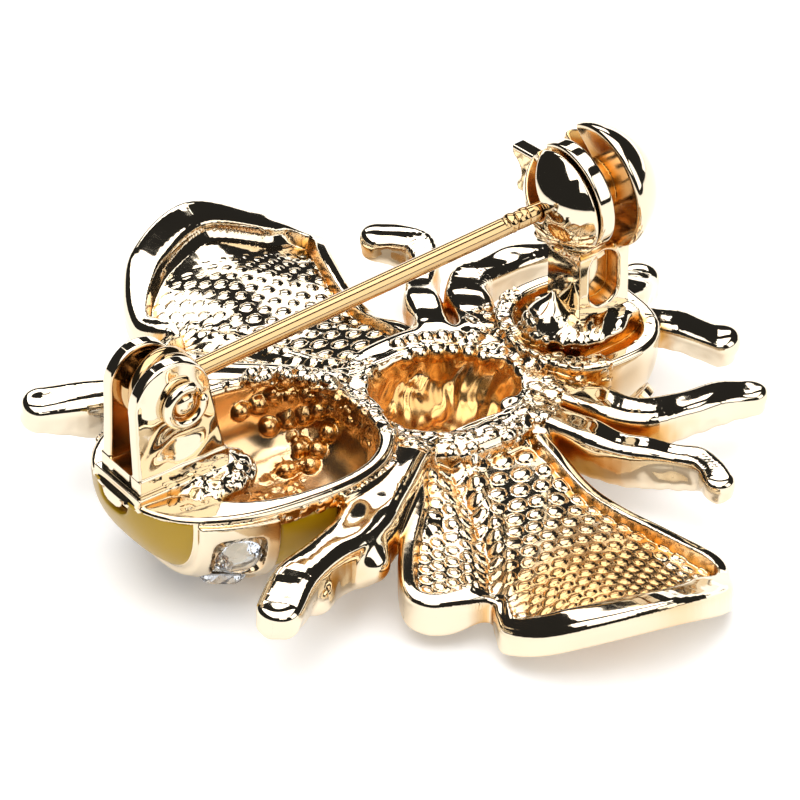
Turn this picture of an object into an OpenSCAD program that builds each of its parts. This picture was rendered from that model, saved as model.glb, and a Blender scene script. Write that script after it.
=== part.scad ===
// Bee brooch, lying face down on its domed front with the pin side up.
// +X is the bee's side nearest the viewer, +Y runs from tail to head, +Z comes out of the back.
// The origin is on the surface that the brooch lies on, under the middle of its length.

/* [Overall] */
// Thickness of the cast wall of the hollow body
wall = 0.9; // [0.8:0.05:1.1]

/* [Abdomen] */
// Length of the abdomen
abdomen_l = 15.2; // [14.8:0.1:15.8]
// Width of the abdomen at its rim
abdomen_w = 10.8; // [10:0.1:11.4]
// Depth of the abdomen from its rim to the crown of the dome
abdomen_d = 5.35; // [5:0.05:5.7]
// Height of the abdomen rim above the thorax back, at its middle
abdomen_rise = 2.3; // [1.8:0.05:2.8]
// Slope of the abdomen rim, rising towards the tail
abdomen_slope = 0.09; // [0:0.01:0.15]
// Distance from the thorax centre back to the abdomen centre
abdomen_back = 11.6; // [11.4:0.05:11.9]
// Length of the closed plate between the abdomen's tail tip and its hollow
tail_plate = 2.9; // [2.4:0.1:3.2]
// Diameter of the cast bumps in the abdomen's hollow
bump_d = 1.0; // [0.8:0.05:1.2]

/* [Thorax and head] */
// Length of the thorax
thorax_l = 10.4; // [10:0.1:11]
// Width of the thorax
thorax_w = 10.4; // [9.6:0.1:11]
// Depth of the thorax
thorax_d = 4; // [3.6:0.05:4.4]
// Height of the thorax rim over the back plane
thorax_rise = 0.9; // [0.6:0.05:1.2]
// Length of the head
head_l = 7.4; // [7:0.1:7.8]
// Width of the head
head_w = 8.2; // [7.8:0.1:8.6]
// Depth of the head
head_d = 4.7; // [4.4:0.05:4.9]
// Height of the head rim over the back plane
head_rise = 1.4; // [1.1:0.05:1.7]
// Distance from the thorax centre forward to the head centre
head_fwd = 8.4; // [8.2:0.05:8.7]

/* [Wings] */
// Reach of a wing from the middle of the body to its outermost point
wing_reach = 20.2; // [19.5:0.1:21]
// Length of a wing from its head corner to its tail corner
wing_l = 15; // [14:0.1:16]
// Thickness of the wing plate at its edge
wing_t = 1.5; // [1.2:0.05:1.6]
// Height that the wing falls from its root to its corners
wing_fall = 2; // [1.8:0.05:2.2]
// Depth of the dished field inside the wing rim
wing_dish = 0.4; // [0.2:0.05:0.5]

/* [Legs and feelers] */
// Reach of the middle legs from the middle of the body
limb_reach = 13.6; // [13:0.1:14.2]
// Width of a leg
leg_w = 1.7; // [1.5:0.05:2]
// Depth of a leg
leg_d = 1.9; // [1.6:0.05:2.2]
// Width of a feeler
feeler_w = 1.9; // [1.6:0.05:2.2]

/* [Enamel and stones] */
// Depth of the enamel in its recess
enamel_t = 0.45; // [0.3:0.05:0.6]
// Distance from the abdomen's rim down to the enamel and the stone bands
enamel_drop = 0.35; // [0.25:0.05:0.5]
// Gap around each inlaid piece
seat_gap = 0.03; // [0.02:0.01:0.05]
// Number of stones in a band
stones = 5; // [5:1:5]
// Diameter of a stone
stone_d = 2.7; // [2.5:0.05:2.8]
// Height of a stone from its point to its table
stone_h = 1.3; // [1.1:0.05:1.4]
// Width of a stone band
band_w = 3.8; // [3.6:0.05:4]
// Height that a stone band stands out from the dome
band_rise = 0.3; // [0.2:0.05:0.4]
// Diameter of an eye stone
eye_d = 1.3; // [1.2:0.05:1.4]
// Height of an eye stone
eye_h = 0.8; // [0.7:0.05:0.9]

/* [Pin and hinge] */
// Diameter of the pin wire
pin_d = 0.95; // [0.8:0.05:1.05]
// Distance from the hinge rivet to the centre of the catch
pin_span = 25.1; // [24.9:0.05:25.3]
// Length of the pin past the centre of the catch
pin_past = 1.6; // [1.2:0.1:1.8]
// Rise of the pin towards the head, in degrees
pin_tilt = 2.75; // [2:0.05:3.5]
// Height of the hinge rivet above the thorax back
hinge_h = 7.75; // [7.5:0.05:8]
// Distance from the thorax centre back to the hinge rivet
hinge_back = 16.2; // [16:0.05:16.4]
// Diameter of the hinge rivet
rivet_d = 1.2; // [1:0.05:1.4]
// Width of the gap between the two ears of the hinge
hinge_gap = 1.8; // [1.7:0.05:2]
// Thickness of the sheet of the hinge bracket
sheet_t = 0.7; // [0.6:0.05:0.8]
// Radius of the round top of a hinge ear
ear_r = 2.1; // [2:0.05:2.2]
// Radius of the round top of the far hinge ear, which is lower
far_ear_r = 1.8; // [1.7:0.05:1.9]
// Radial running clearance of the moving parts
run_gap = 0.05; // [0.03:0.01:0.08]

/* [Catch] */
// Diameter of the ball of the safety catch
ball_d = 6.3; // [6:0.05:6.6]
// Diameter of the turning ring in the ball
ring_d = 5.6; // [5.4:0.05:5.7]
// Distance that the ball's centre lies below the pin's axis
ball_drop = 0.2; // [0:0.05:0.3]
// Turn of the finger tab below level at rest, in degrees
tab_turn = 18; // [10:1:25]
// Thickness of the turning ring
ring_t = 0.85; // [0.7:0.05:1]
// Width of the groove that the ring turns in
groove_w = 2.1; // [1.9:0.05:2.3]
// Reach of the finger tab from the pin's axis
tab_reach = 4.7; // [4.4:0.05:5]

/* [Hidden] */
gold = [0.87, 0.76, 0.54];
yellow = [0.66, 0.57, 0.15];
clear = [0.82, 0.88, 0.94];

// Squareness of the body outline and of its cross-section
plan_power = 2.4;
section_power = 2.8;
// Steps along a body shell and around its section
shell_steps = 13;
round_steps = 14;
// Small turn that closes a shell just short of its pole, in degrees
pole = 5;
// Distance that the thorax's middle lies ahead of the centre
thorax_fwd = 0.2;

function lerp(a, b, t) = a + (b - a) * t;
// Superellipse arms: the power of a cosine or sine that keeps its sign
function arm(v, p) = sign(v) * pow(abs(v), 2 / p);

// A body shell is [centre y, half length, half width, depth, rim height, rim slope]
abdomen = [-abdomen_back, abdomen_l / 2, abdomen_w / 2, abdomen_d, abdomen_rise, abdomen_slope];
thorax = [thorax_fwd, thorax_l / 2, thorax_w / 2, thorax_d, thorax_rise, 0];
head = [head_fwd, head_l / 2, head_w / 2, head_d, head_rise, 0];

// Point on a shell at turn t along it (0 tail, 180 head) and turn a around it (0 near, 180 far)
function rim_z(s, y) = s[4] - s[5] * (y - s[0]);
function shell_y(s, t, out) = s[0] - (s[1] + out) * arm(cos(t), plan_power);
function shell_point(s, t, a, out = 0) =
    let (y = shell_y(s, t, out), swell = arm(sin(t), plan_power))
    [(s[2] + out) * swell * arm(cos(a), section_power),
     y,
     rim_z(s, y) - (s[3] + out) * swell * arm(sin(a), section_power)];
function shell_normal(s, t, a) =
    let (du = shell_point(s, t + 1, a) - shell_point(s, t - 1, a),
         dv = shell_point(s, t, a + 1) - shell_point(s, t, a - 1),
         n = cross(du, dv))
    -n / norm(n);

// Triangles that close a ring of n points from side to side
function strip(n, first) =
    [for (j = [0:floor((n - 1) / 2) - 1])
        let (k = n - 1 - j)
        each concat([[j, j + 1, k] + [1, 1, 1] * first],
                    j + 1 < k - 1 ? [[j + 1, k - 1, k] + [1, 1, 1] * first] : [])];

// Closed solid from rings of points that all have the same number of points
module loft(rings) {
    n = len(rings[0]);
    m = len(rings);
    points = [for (r = rings) for (p = r) p];
    sides = [for (i = [0:m - 2]) for (j = [0:n - 1])
        let (k = (j + 1) % n)
        each [[i * n + j, (i + 1) * n + k, i * n + k],
              [i * n + j, (i + 1) * n + j, (i + 1) * n + k]]];
    first = strip(n, 0);
    last = [for (f = strip(n, (m - 1) * n)) [f[2], f[1], f[0]]];
    polyhedron(points, concat(first, sides, last), convexity = 6);
}

// Share from 0 to 1 of step j of n around a section, shifted to and fro from row to row
// so that no facet's diagonal lies flat
facet_shift = 0.34;
function around(i, j, n) = (j + facet_shift * (i % 2 == 0 ? 1 : -1) * sin(180 * j / n)) / n;

// Solid dome of a shell, flat at its rim, raised above the rim by lift for a cutter
module dome(s, out = 0, lift = 0) {
    loft([for (i = [0:shell_steps])
        let (t = lerp(pole, 180 - pole, i / shell_steps))
        [for (j = [0:round_steps])
            shell_point(s, t, 180 * around(i, j, round_steps), out)
            + (j == 0 || j == round_steps ? [0, 0, lift] : [0, 0, 0])]]);
}

// Curved panel on a shell between two turns along it and two turns around it
module panel(s, t0, t1, a0, a1, top, bottom, nt, na) {
    outer = [for (i = [0:nt]) [for (j = [0:na])
        shell_point(s, lerp(t0, t1, i / nt), lerp(a0, a1, around(i, j, na)), top)]];
    inner = [for (i = [0:nt]) [for (j = [na:-1:0])
        shell_point(s, lerp(t0, t1, i / nt), lerp(a0, a1, around(i, j, na)), bottom)]];
    loft([for (i = [0:nt]) concat(outer[i], inner[i])]);
}

// Turn along a shell at which its section stands at y
function turn_at(s, y) =
    let (v = (s[0] - y) / s[1])
    acos(sign(v) * pow(abs(v), plan_power / 2));

// Edges of the two stone bands, as turns along the abdomen
tail_band_y = abdomen[0] - 0.48 * abdomen[1];
waist_band_y = abdomen[0] + 0.5 * abdomen[1];
function band_turns(y) = [turn_at(abdomen, y - band_w / 2), turn_at(abdomen, y + band_w / 2)];
tail_band = band_turns(tail_band_y);
waist_band = band_turns(waist_band_y);
// Turn around the abdomen at which its wall is a drop below the rim, and the first stone's own turn
function drop_turn(drop) = asin(pow(drop / abdomen_d, section_power / 2));
first_a = 21;
// Turns along the abdomen where the tail enamel starts, and by which enamel stays short of a band
enamel_tail_t = 8.3;
enamel_short = 1.2;
// Depth that a band's strip and a stone's girdle are sunk
band_root = 0.4;
stone_sink = 0.1;

function stone_a(i) = lerp(first_a, 180 - first_a, (i - 1) / (stones - 1));
function stone_t(y) = turn_at(abdomen, y);

// Puts its children on a shell, with their +Z along the outward normal
module on_shell(s, t, a, out) {
    n = shell_normal(s, t, a);
    translate(shell_point(s, t, a, out))
        rotate([0, acos(n[2]), atan2(n[1], n[0])])
            children();
}

// Shares of a stone's height and radius: crown height, girdle edge and table radius
crown_share = 0.32;
girdle_share = 0.06;
table_share = 0.58;

// Cut stone with a table and kite facets, its girdle's upper edge at its own z 0
module stone_shape(d, h) {
    r = d / 2;
    crown = crown_share * h;
    table = [for (k = [0:7]) [table_share * r * cos(45 * k), table_share * r * sin(45 * k), crown]];
    top = [for (k = [0:15]) [r * cos(22.5 * k), r * sin(22.5 * k), 0]];
    low = [for (p = top) p - [0, 0, girdle_share * h]];
    culet = [[0, 0, crown - h]];
    kites = [for (k = [0:7])
        let (g = 8 + 2 * k, next = 8 + (2 * k + 1) % 16, prev = 8 + (2 * k + 15) % 16)
        each [[k, g, prev], [k, next, g], [k, (k + 1) % 8, next]]];
    rim = [for (k = [0:15])
        let (m = (k + 1) % 16)
        each [[8 + k, 8 + m, 24 + m], [8 + k, 24 + m, 24 + k]]];
    point = [for (k = [0:15]) [24 + k, 24 + (k + 1) % 16, 40]];
    polyhedron(concat(table, top, low, culet), concat([[for (k = [7:-1:0]) k]], kites, rim, point));
}

// Cutter for a stone's seat, open above the girdle
module stone_seat(d, h) {
    r = d / 2 + seat_gap;
    deep = (1 - crown_share) * h + 2 * seat_gap;
    rotate_extrude($fn = 16)
        polygon([[0, -deep], [r, -girdle_share * h - seat_gap], [r, h], [0, h]]);
}

module band_stone(y, i, seat = false) {
    on_shell(abdomen, stone_t(y), stone_a(i), band_rise - stone_sink)
        if (seat) stone_seat(stone_d, stone_h);
        else stone_shape(stone_d, stone_h);
}

// Eye on the front of the head, near side at +1 and far side at -1
eye_t = 110;
eye_a = 50;
eye_out = 0.35;
module eye_place(side) {
    on_shell(head, eye_t, side > 0 ? eye_a : 180 - eye_a, eye_out)
        children();
}

// Cast cup that an eye stone sits in
module eye_cup(side) {
    cup_wall = 0.25;
    eye_place(side)
        translate([0, 0, -eye_h])
            cylinder(d = eye_d + 2 * cup_wall, h = eye_h, $fn = 16);
}

// Smooth closed curve through control points, sampled n times between each two
function spline(c, i, u) =
    let (m = len(c), a = c[(i + m - 1) % m], b = c[i], d = c[(i + 1) % m], e = c[(i + 2) % m])
    0.5 * (2 * b + (d - a) * u + (2 * a - 5 * b + 4 * d - e) * u * u
           + (3 * b - a - 3 * d + e) * u * u * u);
function closed_curve(c, n) = [for (i = [0:len(c) - 1]) for (k = [0:n - 1]) spline(c, i, k / n)];

// Wing outline: shares of the reach, of the length and of the fall, from the root round by the head side
wing_table = [
    [0.17, 0.14, 0.40], [0.30, 0.16, 0.10], [0.43, 0.17, -0.38], [0.55, 0.19, -0.46],
    [0.68, 0.25, -0.58], [0.79, 0.32, -0.85], [0.86, 0.30, -0.95], [0.95, 0.19, -0.50],
    [1.0, -0.07, 0.35], [0.93, -0.32, 0.15], [0.84, -0.44, -0.35], [0.745, -0.49, -0.70],
    [0.69, -0.47, -0.62], [0.655, -0.455, -0.50], [0.63, -0.53, -0.45], [0.59, -0.63, -0.42],
    [0.52, -0.66, -0.30], [0.41, -0.57, -0.10], [0.30, -0.42, 0.2], [0.17, -0.25, 0.45]];
wing_points = [for (p = wing_table) [p[0] * wing_reach, p[1] * wing_l, p[2] * wing_fall]];
wing_edge = closed_curve(wing_points, 3);
// Middle of the wing's field, which the rings of the plate close in on
wing_mid = [0.55 * wing_reach, -0.15 * wing_l, -0.1 * wing_fall];

function toward(p, s) =
    let (q = wing_mid + (p - wing_mid) * s)
    [q[0], q[1], wing_mid[2] + (p[2] - wing_mid[2]) * s * s];
function ring_at(s, dz) = [for (p = wing_edge) toward(p, s) + [0, 0, dz]];

// Wing plate: a rounded rim, a dished field on the back and a flat face below
module wing() {
    round = 0.3;
    field = [for (s = [0.3, 0.84]) ring_at(s, -wing_dish)];
    rim = [ring_at(0.9, 0), ring_at(0.975, 0), ring_at(1, -round), ring_at(1, -wing_t + round)];
    under = [for (s = [0.96, 0.3]) ring_at(s, -wing_t)];
    loft(concat(field, rim, under));
}

// Legs and feelers: shares of limb_reach along X, Y and Z, then of the limb's own width and depth.
// The far middle leg ends with its foot further back.
hind_leg = [[0.25, -0.34, 0.06, 1.1, 1.0], [0.39, -0.53, 0.06, 1.15, 1.1], [0.515, -0.72, 0.06, 1.1, 1.0],
            [0.58, -0.91, 0.065, 1.0, 1.0], [0.65, -1.09, 0.08, 1.15, 0.9], [0.735, -1.22, 0.065, 1.1, 0.5]];
middle_leg = [[0.24, 0.16, 0.06, 1.0, 1.2], [0.38, 0.24, 0.055, 0.95, 1.4], [0.50, 0.29, 0.045, 1.0, 1.3],
              [0.62, 0.36, 0.03, 0.9, 0.9], [0.73, 0.47, 0.01, 0.85, 0.8], [0.81, 0.53, 0.0, 0.8, 0.6],
              [0.89, 0.54, 0.0, 0.8, 0.5], [0.955, 0.52, 0.0, 0.8, 0.45]];
far_middle_leg = concat([for (i = [0:4]) middle_leg[i]],
                        [[0.82, 0.50, 0.0, 0.9, 0.6], [0.89, 0.46, 0.0, 0.9, 0.5],
                         [0.935, 0.41, 0.0, 0.9, 0.45]]);
front_leg = [[0.22, 0.34, 0.06, 1.1, 1.0], [0.35, 0.41, 0.055, 1.2, 1.0], [0.46, 0.46, 0.045, 1.2, 1.0],
             [0.53, 0.55, 0.03, 1.15, 0.9], [0.545, 0.69, 0.01, 1.0, 0.9], [0.555, 0.83, -0.01, 0.95, 0.7],
             [0.585, 0.95, -0.03, 0.95, 0.5]];
feeler = [[0.08, 0.85, 0.08, 0.9, 0.7], [0.15, 0.97, 0.02, 1.0, 0.75], [0.235, 1.085, -0.06, 1.1, 0.8]];

// Smooth open curve through the rows of a limb's table, sampled n times between each two
function open_curve(c, n) =
    let (m = len(c) - 1, ends = concat([2 * c[0] - c[1]], c, [2 * c[m] - c[m - 1]]))
    concat([for (i = [0:m - 1]) for (k = [0:n - 1]) spline(ends, i + 1, k / n)], [c[m]]);

// Cross-section of a limb: q is a row of its table in millimetres, run its direction seen from above
limb_sides = 8;
limb_power = 2.6;
function limb_ring(q, run, ahead, size, turn = 0) =
    [for (k = [0:limb_sides - 1])
        let (a = 360 * (k + turn) / limb_sides, across = q[3] / 2 * size * arm(cos(a), limb_power))
        [q[0] + run[0] * ahead - run[1] * across,
         q[1] + run[1] * ahead + run[0] * across,
         q[2] - q[4] / 2 + q[4] / 2 * size * arm(sin(a), limb_power)]];

// Rows of a limb's table in millimetres, and the direction of the limb at each
function limb_rows(path, w, d) =
    let (unit = [limb_reach, limb_reach, limb_reach, w, d])
    open_curve([for (p = path) [for (k = [0:4]) p[k] * unit[k]]], 2);
function limb_run(rows, i) =
    let (v = rows[min(i + 1, len(rows) - 1)] - rows[max(i - 1, 0)])
    [v[0], v[1]] / norm([v[0], v[1]]);
function limb_tip(rows) =
    let (m = len(rows) - 1)
    [for (t = [[0.3, 0.86], [0.46, 0.5]]) limb_ring(rows[m], limb_run(rows, m), t[0] * rows[m][3], t[1])];

// A limb's root: how far it reaches ahead of the first row and back into the body, and its end steps
root_ahead = 0.35;
root_back = 1.2;
root_l = 0.2;
// Limb with a rounded tip, lofted along its table and drawn in to the body at its root
module limb(path, w, d) {
    rows = limb_rows(path, w, d);
    loft(concat([for (i = [0:len(rows) - 1]) limb_ring(rows[i], limb_run(rows, i), 0, 1)], limb_tip(rows)));
    hull()
        for (t = [[root_ahead, 0.93], [-root_back, 1.25]])
            loft([for (end = [0, root_l]) limb_ring(rows[0], limb_run(rows, 0), t[0] + end, t[1], 0.5)]);
}

module both_sides() {
    children();
    mirror([1, 0, 0])
        children();
}

// Lowest point of a band's middle stone, which the brooch lies on with its wing tips
function stone_low(y) =
    let (t = stone_t(y), n = shell_normal(abdomen, t, 90),
         c = shell_point(abdomen, t, 90, band_rise - stone_sink))
    c[2] + crown_share * stone_h * n[2] - table_share * stone_d / 2 * norm([n[0], n[1]]);
wing_low = min([for (p = wing_edge) p[2]]) - wing_t;
back_h = -min(stone_low(tail_band_y), stone_low(waist_band_y), wing_low);

// Everything is drawn about the thorax centre, then set on the surface with its length centred
tail_end = shell_y(abdomen, pole, 0);
feeler_end = max([for (r = limb_tip(limb_rows(feeler, feeler_w, feeler_w))) for (p = r) p[1]]);
thorax_y = -(tail_end + feeler_end) / 2;
module seated() {
    translate([0, thorax_y, back_h])
        children();
}

// Foot of the hinge bracket and post of the catch, with the flat pads that carry them
bracket_l = 5;
bracket_w = hinge_gap + 2 * sheet_t;
bracket_y = -hinge_back + 0.1;
pad_top = 3.3;
pad_t = 1;
pad_edge = 0.3;
post_w = 3.2;
post_l = 3;
post_y = head_fwd + 0.6;
post_base = 2.1;
head_dish = 1;

module body_shells() {
    start = drop_turn(enamel_drop);
    dome(abdomen);
    dome(thorax);
    dome(head);
    for (b = [tail_band, waist_band])
        panel(abdomen, b[0], b[1], start, 180 - start, band_rise, -band_root, 3, round_steps);
}

// Hollows of the body, open at the back
hollow = [abdomen[0] + (tail_plate - wall) / 2, abdomen[1] - (tail_plate + wall) / 2,
          abdomen[2] - wall, abdomen[3] - wall, rim_z(abdomen, abdomen[0] + (tail_plate - wall) / 2),
          abdomen[5]];
module hollows() {
    lift = 1.5;
    dome(hollow, 0, lift);
    dome([thorax[0], thorax[1] - 1.3 * wall, thorax[2] - wall, thorax[3] - wall, thorax[4], 0], 0, lift);
    dome([head[0], head[1] - wall, head[2] - wall, head_dish, head[4], 0], 0, lift);
}

// Rows of round cast bumps across the abdomen's hollow
bump_rows = 4;
row_bumps = 7;
module hollow_bumps() {
    for (i = [1:bump_rows])
        for (j = [1:row_bumps])
            translate(shell_point(hollow, 75 + 18 * i, 180 * j / (row_bumps + 1)))
                sphere(d = bump_d, $fn = 6);
}

module hinge_pad() {
    translate([-bracket_w / 2 - pad_edge, bracket_y - bracket_l / 2 - pad_edge, pad_top - pad_t])
        cube([bracket_w + 2 * pad_edge, bracket_l + 2 * pad_edge, pad_t]);
}

module catch_pad() {
    depth = post_base + head_dish;
    translate([-post_w / 2 - pad_edge, post_y - post_l / 2 - pad_edge, -head_dish])
        cube([post_w + 2 * pad_edge, post_l + 2 * pad_edge, depth]);
}

// Drop-shaped boss on the neck, between the thorax and the catch
boss_r = 1.15;
boss_back = 1.9;
boss_z = 1.9;
peak_r = 0.25;
peak_back = 1.5;
peak_z = 3.5;
module neck_boss() {
    hull($fn = 20) {
        translate([0, head_fwd - boss_back, boss_z])
            sphere(r = boss_r);
        translate([0, head_fwd - peak_back, peak_z])
            sphere(r = peak_r);
    }
}

module limbs_and_wings() {
    both_sides() {
        wing();
        limb(hind_leg, leg_w, leg_d);
        limb(front_leg, leg_w, leg_d);
        limb(feeler, feeler_w, feeler_w);
    }
    limb(middle_leg, leg_w, leg_d);
    mirror([1, 0, 0])
        limb(far_middle_leg, leg_w, leg_d);
}

// Recesses for the enamel and seats for the stones
module recesses() {
    enamel(enamel_tail_t, tail_band[0], seat_gap);
    enamel(tail_band[1], waist_band[0], seat_gap);
    for (y = [tail_band_y, waist_band_y])
        for (i = [1:stones])
            band_stone(y, i, true);
    for (side = [-1, 1])
        eye_place(side)
            stone_seat(eye_d, eye_h);
}

module body_casting() {
    color(gold)
        seated()
            difference() {
                union() {
                    difference() {
                        union() {
                            body_shells();
                            limbs_and_wings();
                        }
                        hollows();
                    }
                    hollow_bumps();
                    hinge_pad();
                    catch_pad();
                    neck_boss();
                    for (side = [-1, 1])
                        eye_cup(side);
                }
                recesses();
            }
}

// Enamel panel between two turns along the abdomen; gap cuts the recess for it
module enamel(t0, t1, gap = 0) {
    short = enamel_short - gap / (abdomen_l / 2) * 180 / PI;
    start = drop_turn(enamel_drop - gap);
    panel(abdomen, t0 + short, t1 - short, start, 180 - start, gap > 0 ? 2 * band_rise : 0,
          -enamel_t - gap, 6, round_steps);
}

module enamel_tail() {
    color(yellow)
        seated()
            enamel(enamel_tail_t, tail_band[0]);
}

module enamel_middle() {
    color(yellow)
        seated()
            enamel(tail_band[1], waist_band[0]);
}

module stone_node(y, i) {
    color(clear)
        seated()
            band_stone(y, i);
}

module eye_stone(side) {
    color([0.6, 0.62, 0.6])
        seated()
            eye_place(side)
                stone_shape(eye_d, eye_h);
}

// The hinge turns about X at the rivet; the catch stands on the pin's axis
module at_rivet() {
    translate([0, -hinge_back, hinge_h])
        children();
}

// Local frame of the catch: +Y runs on along the pin, the pin's axis is y = x = 0
module at_catch() {
    at_rivet()
        rotate([pin_tilt, 0, 0])
            translate([0, pin_span, 0])
                children();
}

module ear(side) {
    inner = hinge_gap / 2;
    r = side > 0 ? ear_r : far_ear_r;
    x = side > 0 ? inner : -inner - sheet_t;
    foot = hinge_h - pad_top;
    translate([x, 0, 0])
        rotate([90, 0, 90])
            linear_extrude(sheet_t)
                difference() {
                    union() {
                        circle(r = r, $fn = 64);
                        polygon([[-r, 0], [r, 0], [bracket_y + hinge_back + bracket_l / 2, -foot],
                                 [bracket_y + hinge_back - bracket_l / 2, -foot]]);
                    }
                    circle(d = rivet_d + 2 * seat_gap, $fn = 48);
                }
}

module hinge_bracket() {
    color(gold)
        seated() {
            at_rivet()
                for (side = [-1, 1])
                    ear(side);
            translate([-bracket_w / 2, bracket_y - bracket_l / 2, pad_top])
                cube([bracket_w, bracket_l, sheet_t]);
        }
}

// Rivet with a washer and a curl of wire on the near side and a low round head on the far side
curl_r = 1.0;
curl_wire = 0.36;
washer_t = 0.2;
head_t = 0.35;
module hinge_rivet() {
    out = bracket_w / 2 + seat_gap;
    color(gold)
        seated()
            at_rivet() {
                rotate([0, 90, 0])
                    cylinder(d = rivet_d, h = 2 * out, center = true, $fn = 48);
                translate([out, 0, 0])
                    rotate([0, 90, 0]) {
                        cylinder(d = rivet_d, h = 2 * washer_t, $fn = 48);
                        cylinder(r = curl_r, h = washer_t, $fn = 48);
                    }
                translate([out + curl_wire, 0, 0])
                    rotate([90, 0, 90])
                        rotate(70)
                            rotate_extrude(angle = 290, $fn = 48)
                                translate([curl_r, 0])
                                    circle(r = curl_wire, $fn = 24);
                translate([-out - head_t, 0, 0])
                    rotate([0, 90, 0])
                        cylinder(d = 1.8 * rivet_d, h = head_t, $fn = 48);
            }
}

// Pin wire: a loop on the rivet, a thicker neck between the ears, a plain shank and a long point
loop_in = rivet_d / 2 + run_gap;
loop_r = loop_in + pin_d;
neck_d = 1.4 * pin_d;
point_d = 0.25;
module pin_stem() {
    shank_end = pin_span - ball_d / 2 - 0.35;
    root = loop_in + 0.4 * pin_d;
    neck_end = ear_r + 0.3;
    loop_w = hinge_gap - 2 * run_gap;
    color([0.85, 0.68, 0.33])
        seated()
            at_rivet() {
                rotate([0, 90, 0])
                    difference() {
                        cylinder(r = loop_r, h = loop_w, center = true, $fn = 64);
                        cylinder(r = loop_in, h = 2 * loop_w, center = true, $fn = 64);
                    }
                rotate([pin_tilt - 90, 0, 0]) {
                    translate([0, 0, root])
                        cylinder(d = neck_d, h = neck_end - root, $fn = 48);
                    translate([0, 0, root])
                        cylinder(d = pin_d, h = shank_end - root, $fn = 48);
                    translate([0, 0, shank_end])
                        cylinder(d1 = pin_d, d2 = point_d, h = pin_span + pin_past - shank_end, $fn = 48);
                }
            }
}

// Ball of the catch: two cheeks on a core, with a slot that lets the pin in from above
core_r = 1.35;
pin_way = pin_d / 2 + run_gap + 0.01;
groove_y = -1.4;
neck_w = 2.6;
module slot_above(y0, y1) {
    translate([-pin_way, y0, 0])
        cube([2 * pin_way, y1 - y0, ball_d]);
    translate([0, y0, 0])
        rotate([-90, 0, 0])
            cylinder(r = pin_way, h = y1 - y0, $fn = 48);
}

module catch_housing() {
    color(gold)
        seated() {
            at_catch()
                difference() {
                    translate([0, 0, -ball_drop])
                        sphere(d = ball_d, $fn = 96);
                    translate([0, groove_y, 0])
                        rotate([-90, 0, 0])
                            difference() {
                                cylinder(r = ball_d, h = groove_w, $fn = 64);
                                translate([0, 0, -groove_w / 2])
                                    cylinder(r = core_r, h = 2 * groove_w, $fn = 64);
                            }
                    slot_above(-ball_d, pin_past + 0.5);
                }
            catch_post();
        }
}

// Post from the pad on the head up to both cheeks, with a long recess on its near side
module catch_post() {
    top = hinge_h + sin(pin_tilt) * pin_span - ring_d / 2 - 0.12;
    recess_d = 1.7;
    floor_x = 0.4;
    ends = [post_base + 1.5, post_base + 2.9];
    difference() {
        translate([-neck_w / 2, post_y - post_l / 2, post_base])
            cube([neck_w, post_l, top - post_base]);
        for (z = ends)
            translate([floor_x, post_y, z])
                rotate([0, 90, 0])
                    cylinder(d = recess_d, h = neck_w, $fn = 48);
        translate([floor_x, post_y - recess_d / 2, ends[0]])
            cube([neck_w, recess_d, ends[1] - ends[0]]);
    }
}

// Turning ring of the catch, at rest with its slot up and its finger tab on the far side
module catch_ring() {
    inner = core_r + run_gap;
    side_gap = 0.15;
    tab_w = 1.9;
    color(gold)
        seated()
            at_catch()
                translate([0, groove_y + side_gap, 0])
                    difference() {
                        union() {
                            rotate([-90, 0, 0])
                                cylinder(d = ring_d, h = ring_t, $fn = 96);
                            rotate([0, -tab_turn, 0])
                                translate([-tab_reach, 0, -tab_w / 2])
                                    cube([tab_reach, ring_t, tab_w]);
                        }
                        translate([0, -ring_t / 2, 0])
                            rotate([-90, 0, 0])
                                cylinder(r = inner, h = 2 * ring_t, $fn = 64);
                        translate([-pin_way, -ring_t / 2, 0])
                            cube([2 * pin_way, 2 * ring_t, ball_d]);
                    }
}

body_casting();
enamel_tail();
enamel_middle();
stone_node(tail_band_y, 1);  // tail_stone_1
stone_node(tail_band_y, 2);  // tail_stone_2
stone_node(tail_band_y, 3);  // tail_stone_3
stone_node(tail_band_y, 4);  // tail_stone_4
stone_node(tail_band_y, 5);  // tail_stone_5
stone_node(waist_band_y, 1);  // waist_stone_1
stone_node(waist_band_y, 2);  // waist_stone_2
stone_node(waist_band_y, 3);  // waist_stone_3
stone_node(waist_band_y, 4);  // waist_stone_4
stone_node(waist_band_y, 5);  // waist_stone_5
eye_stone(1);  // eye_stone_near
eye_stone(-1);  // eye_stone_far
hinge_bracket();
hinge_rivet();
pin_stem();
catch_housing();
catch_ring();
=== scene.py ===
import math
import bpy
import bmesh
import numpy as np
from mathutils import Matrix, Vector


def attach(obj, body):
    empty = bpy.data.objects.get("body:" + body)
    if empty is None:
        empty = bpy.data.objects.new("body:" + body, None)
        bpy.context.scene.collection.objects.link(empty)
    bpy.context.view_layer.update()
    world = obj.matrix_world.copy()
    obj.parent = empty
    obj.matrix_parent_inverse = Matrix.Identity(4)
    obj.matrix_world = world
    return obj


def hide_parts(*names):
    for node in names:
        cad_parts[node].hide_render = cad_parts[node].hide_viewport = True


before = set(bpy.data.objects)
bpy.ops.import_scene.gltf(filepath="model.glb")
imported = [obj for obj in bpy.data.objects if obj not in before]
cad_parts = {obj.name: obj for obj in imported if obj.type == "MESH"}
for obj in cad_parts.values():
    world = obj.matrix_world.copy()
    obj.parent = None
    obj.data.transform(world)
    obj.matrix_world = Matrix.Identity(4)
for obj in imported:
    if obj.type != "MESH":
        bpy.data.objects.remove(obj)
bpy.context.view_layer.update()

millimetre = 0.001
thoraxAt = np.array([0.0, 1.66913, 3.70491])    # thorax centre on the back plane, in the row frame, mm


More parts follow.
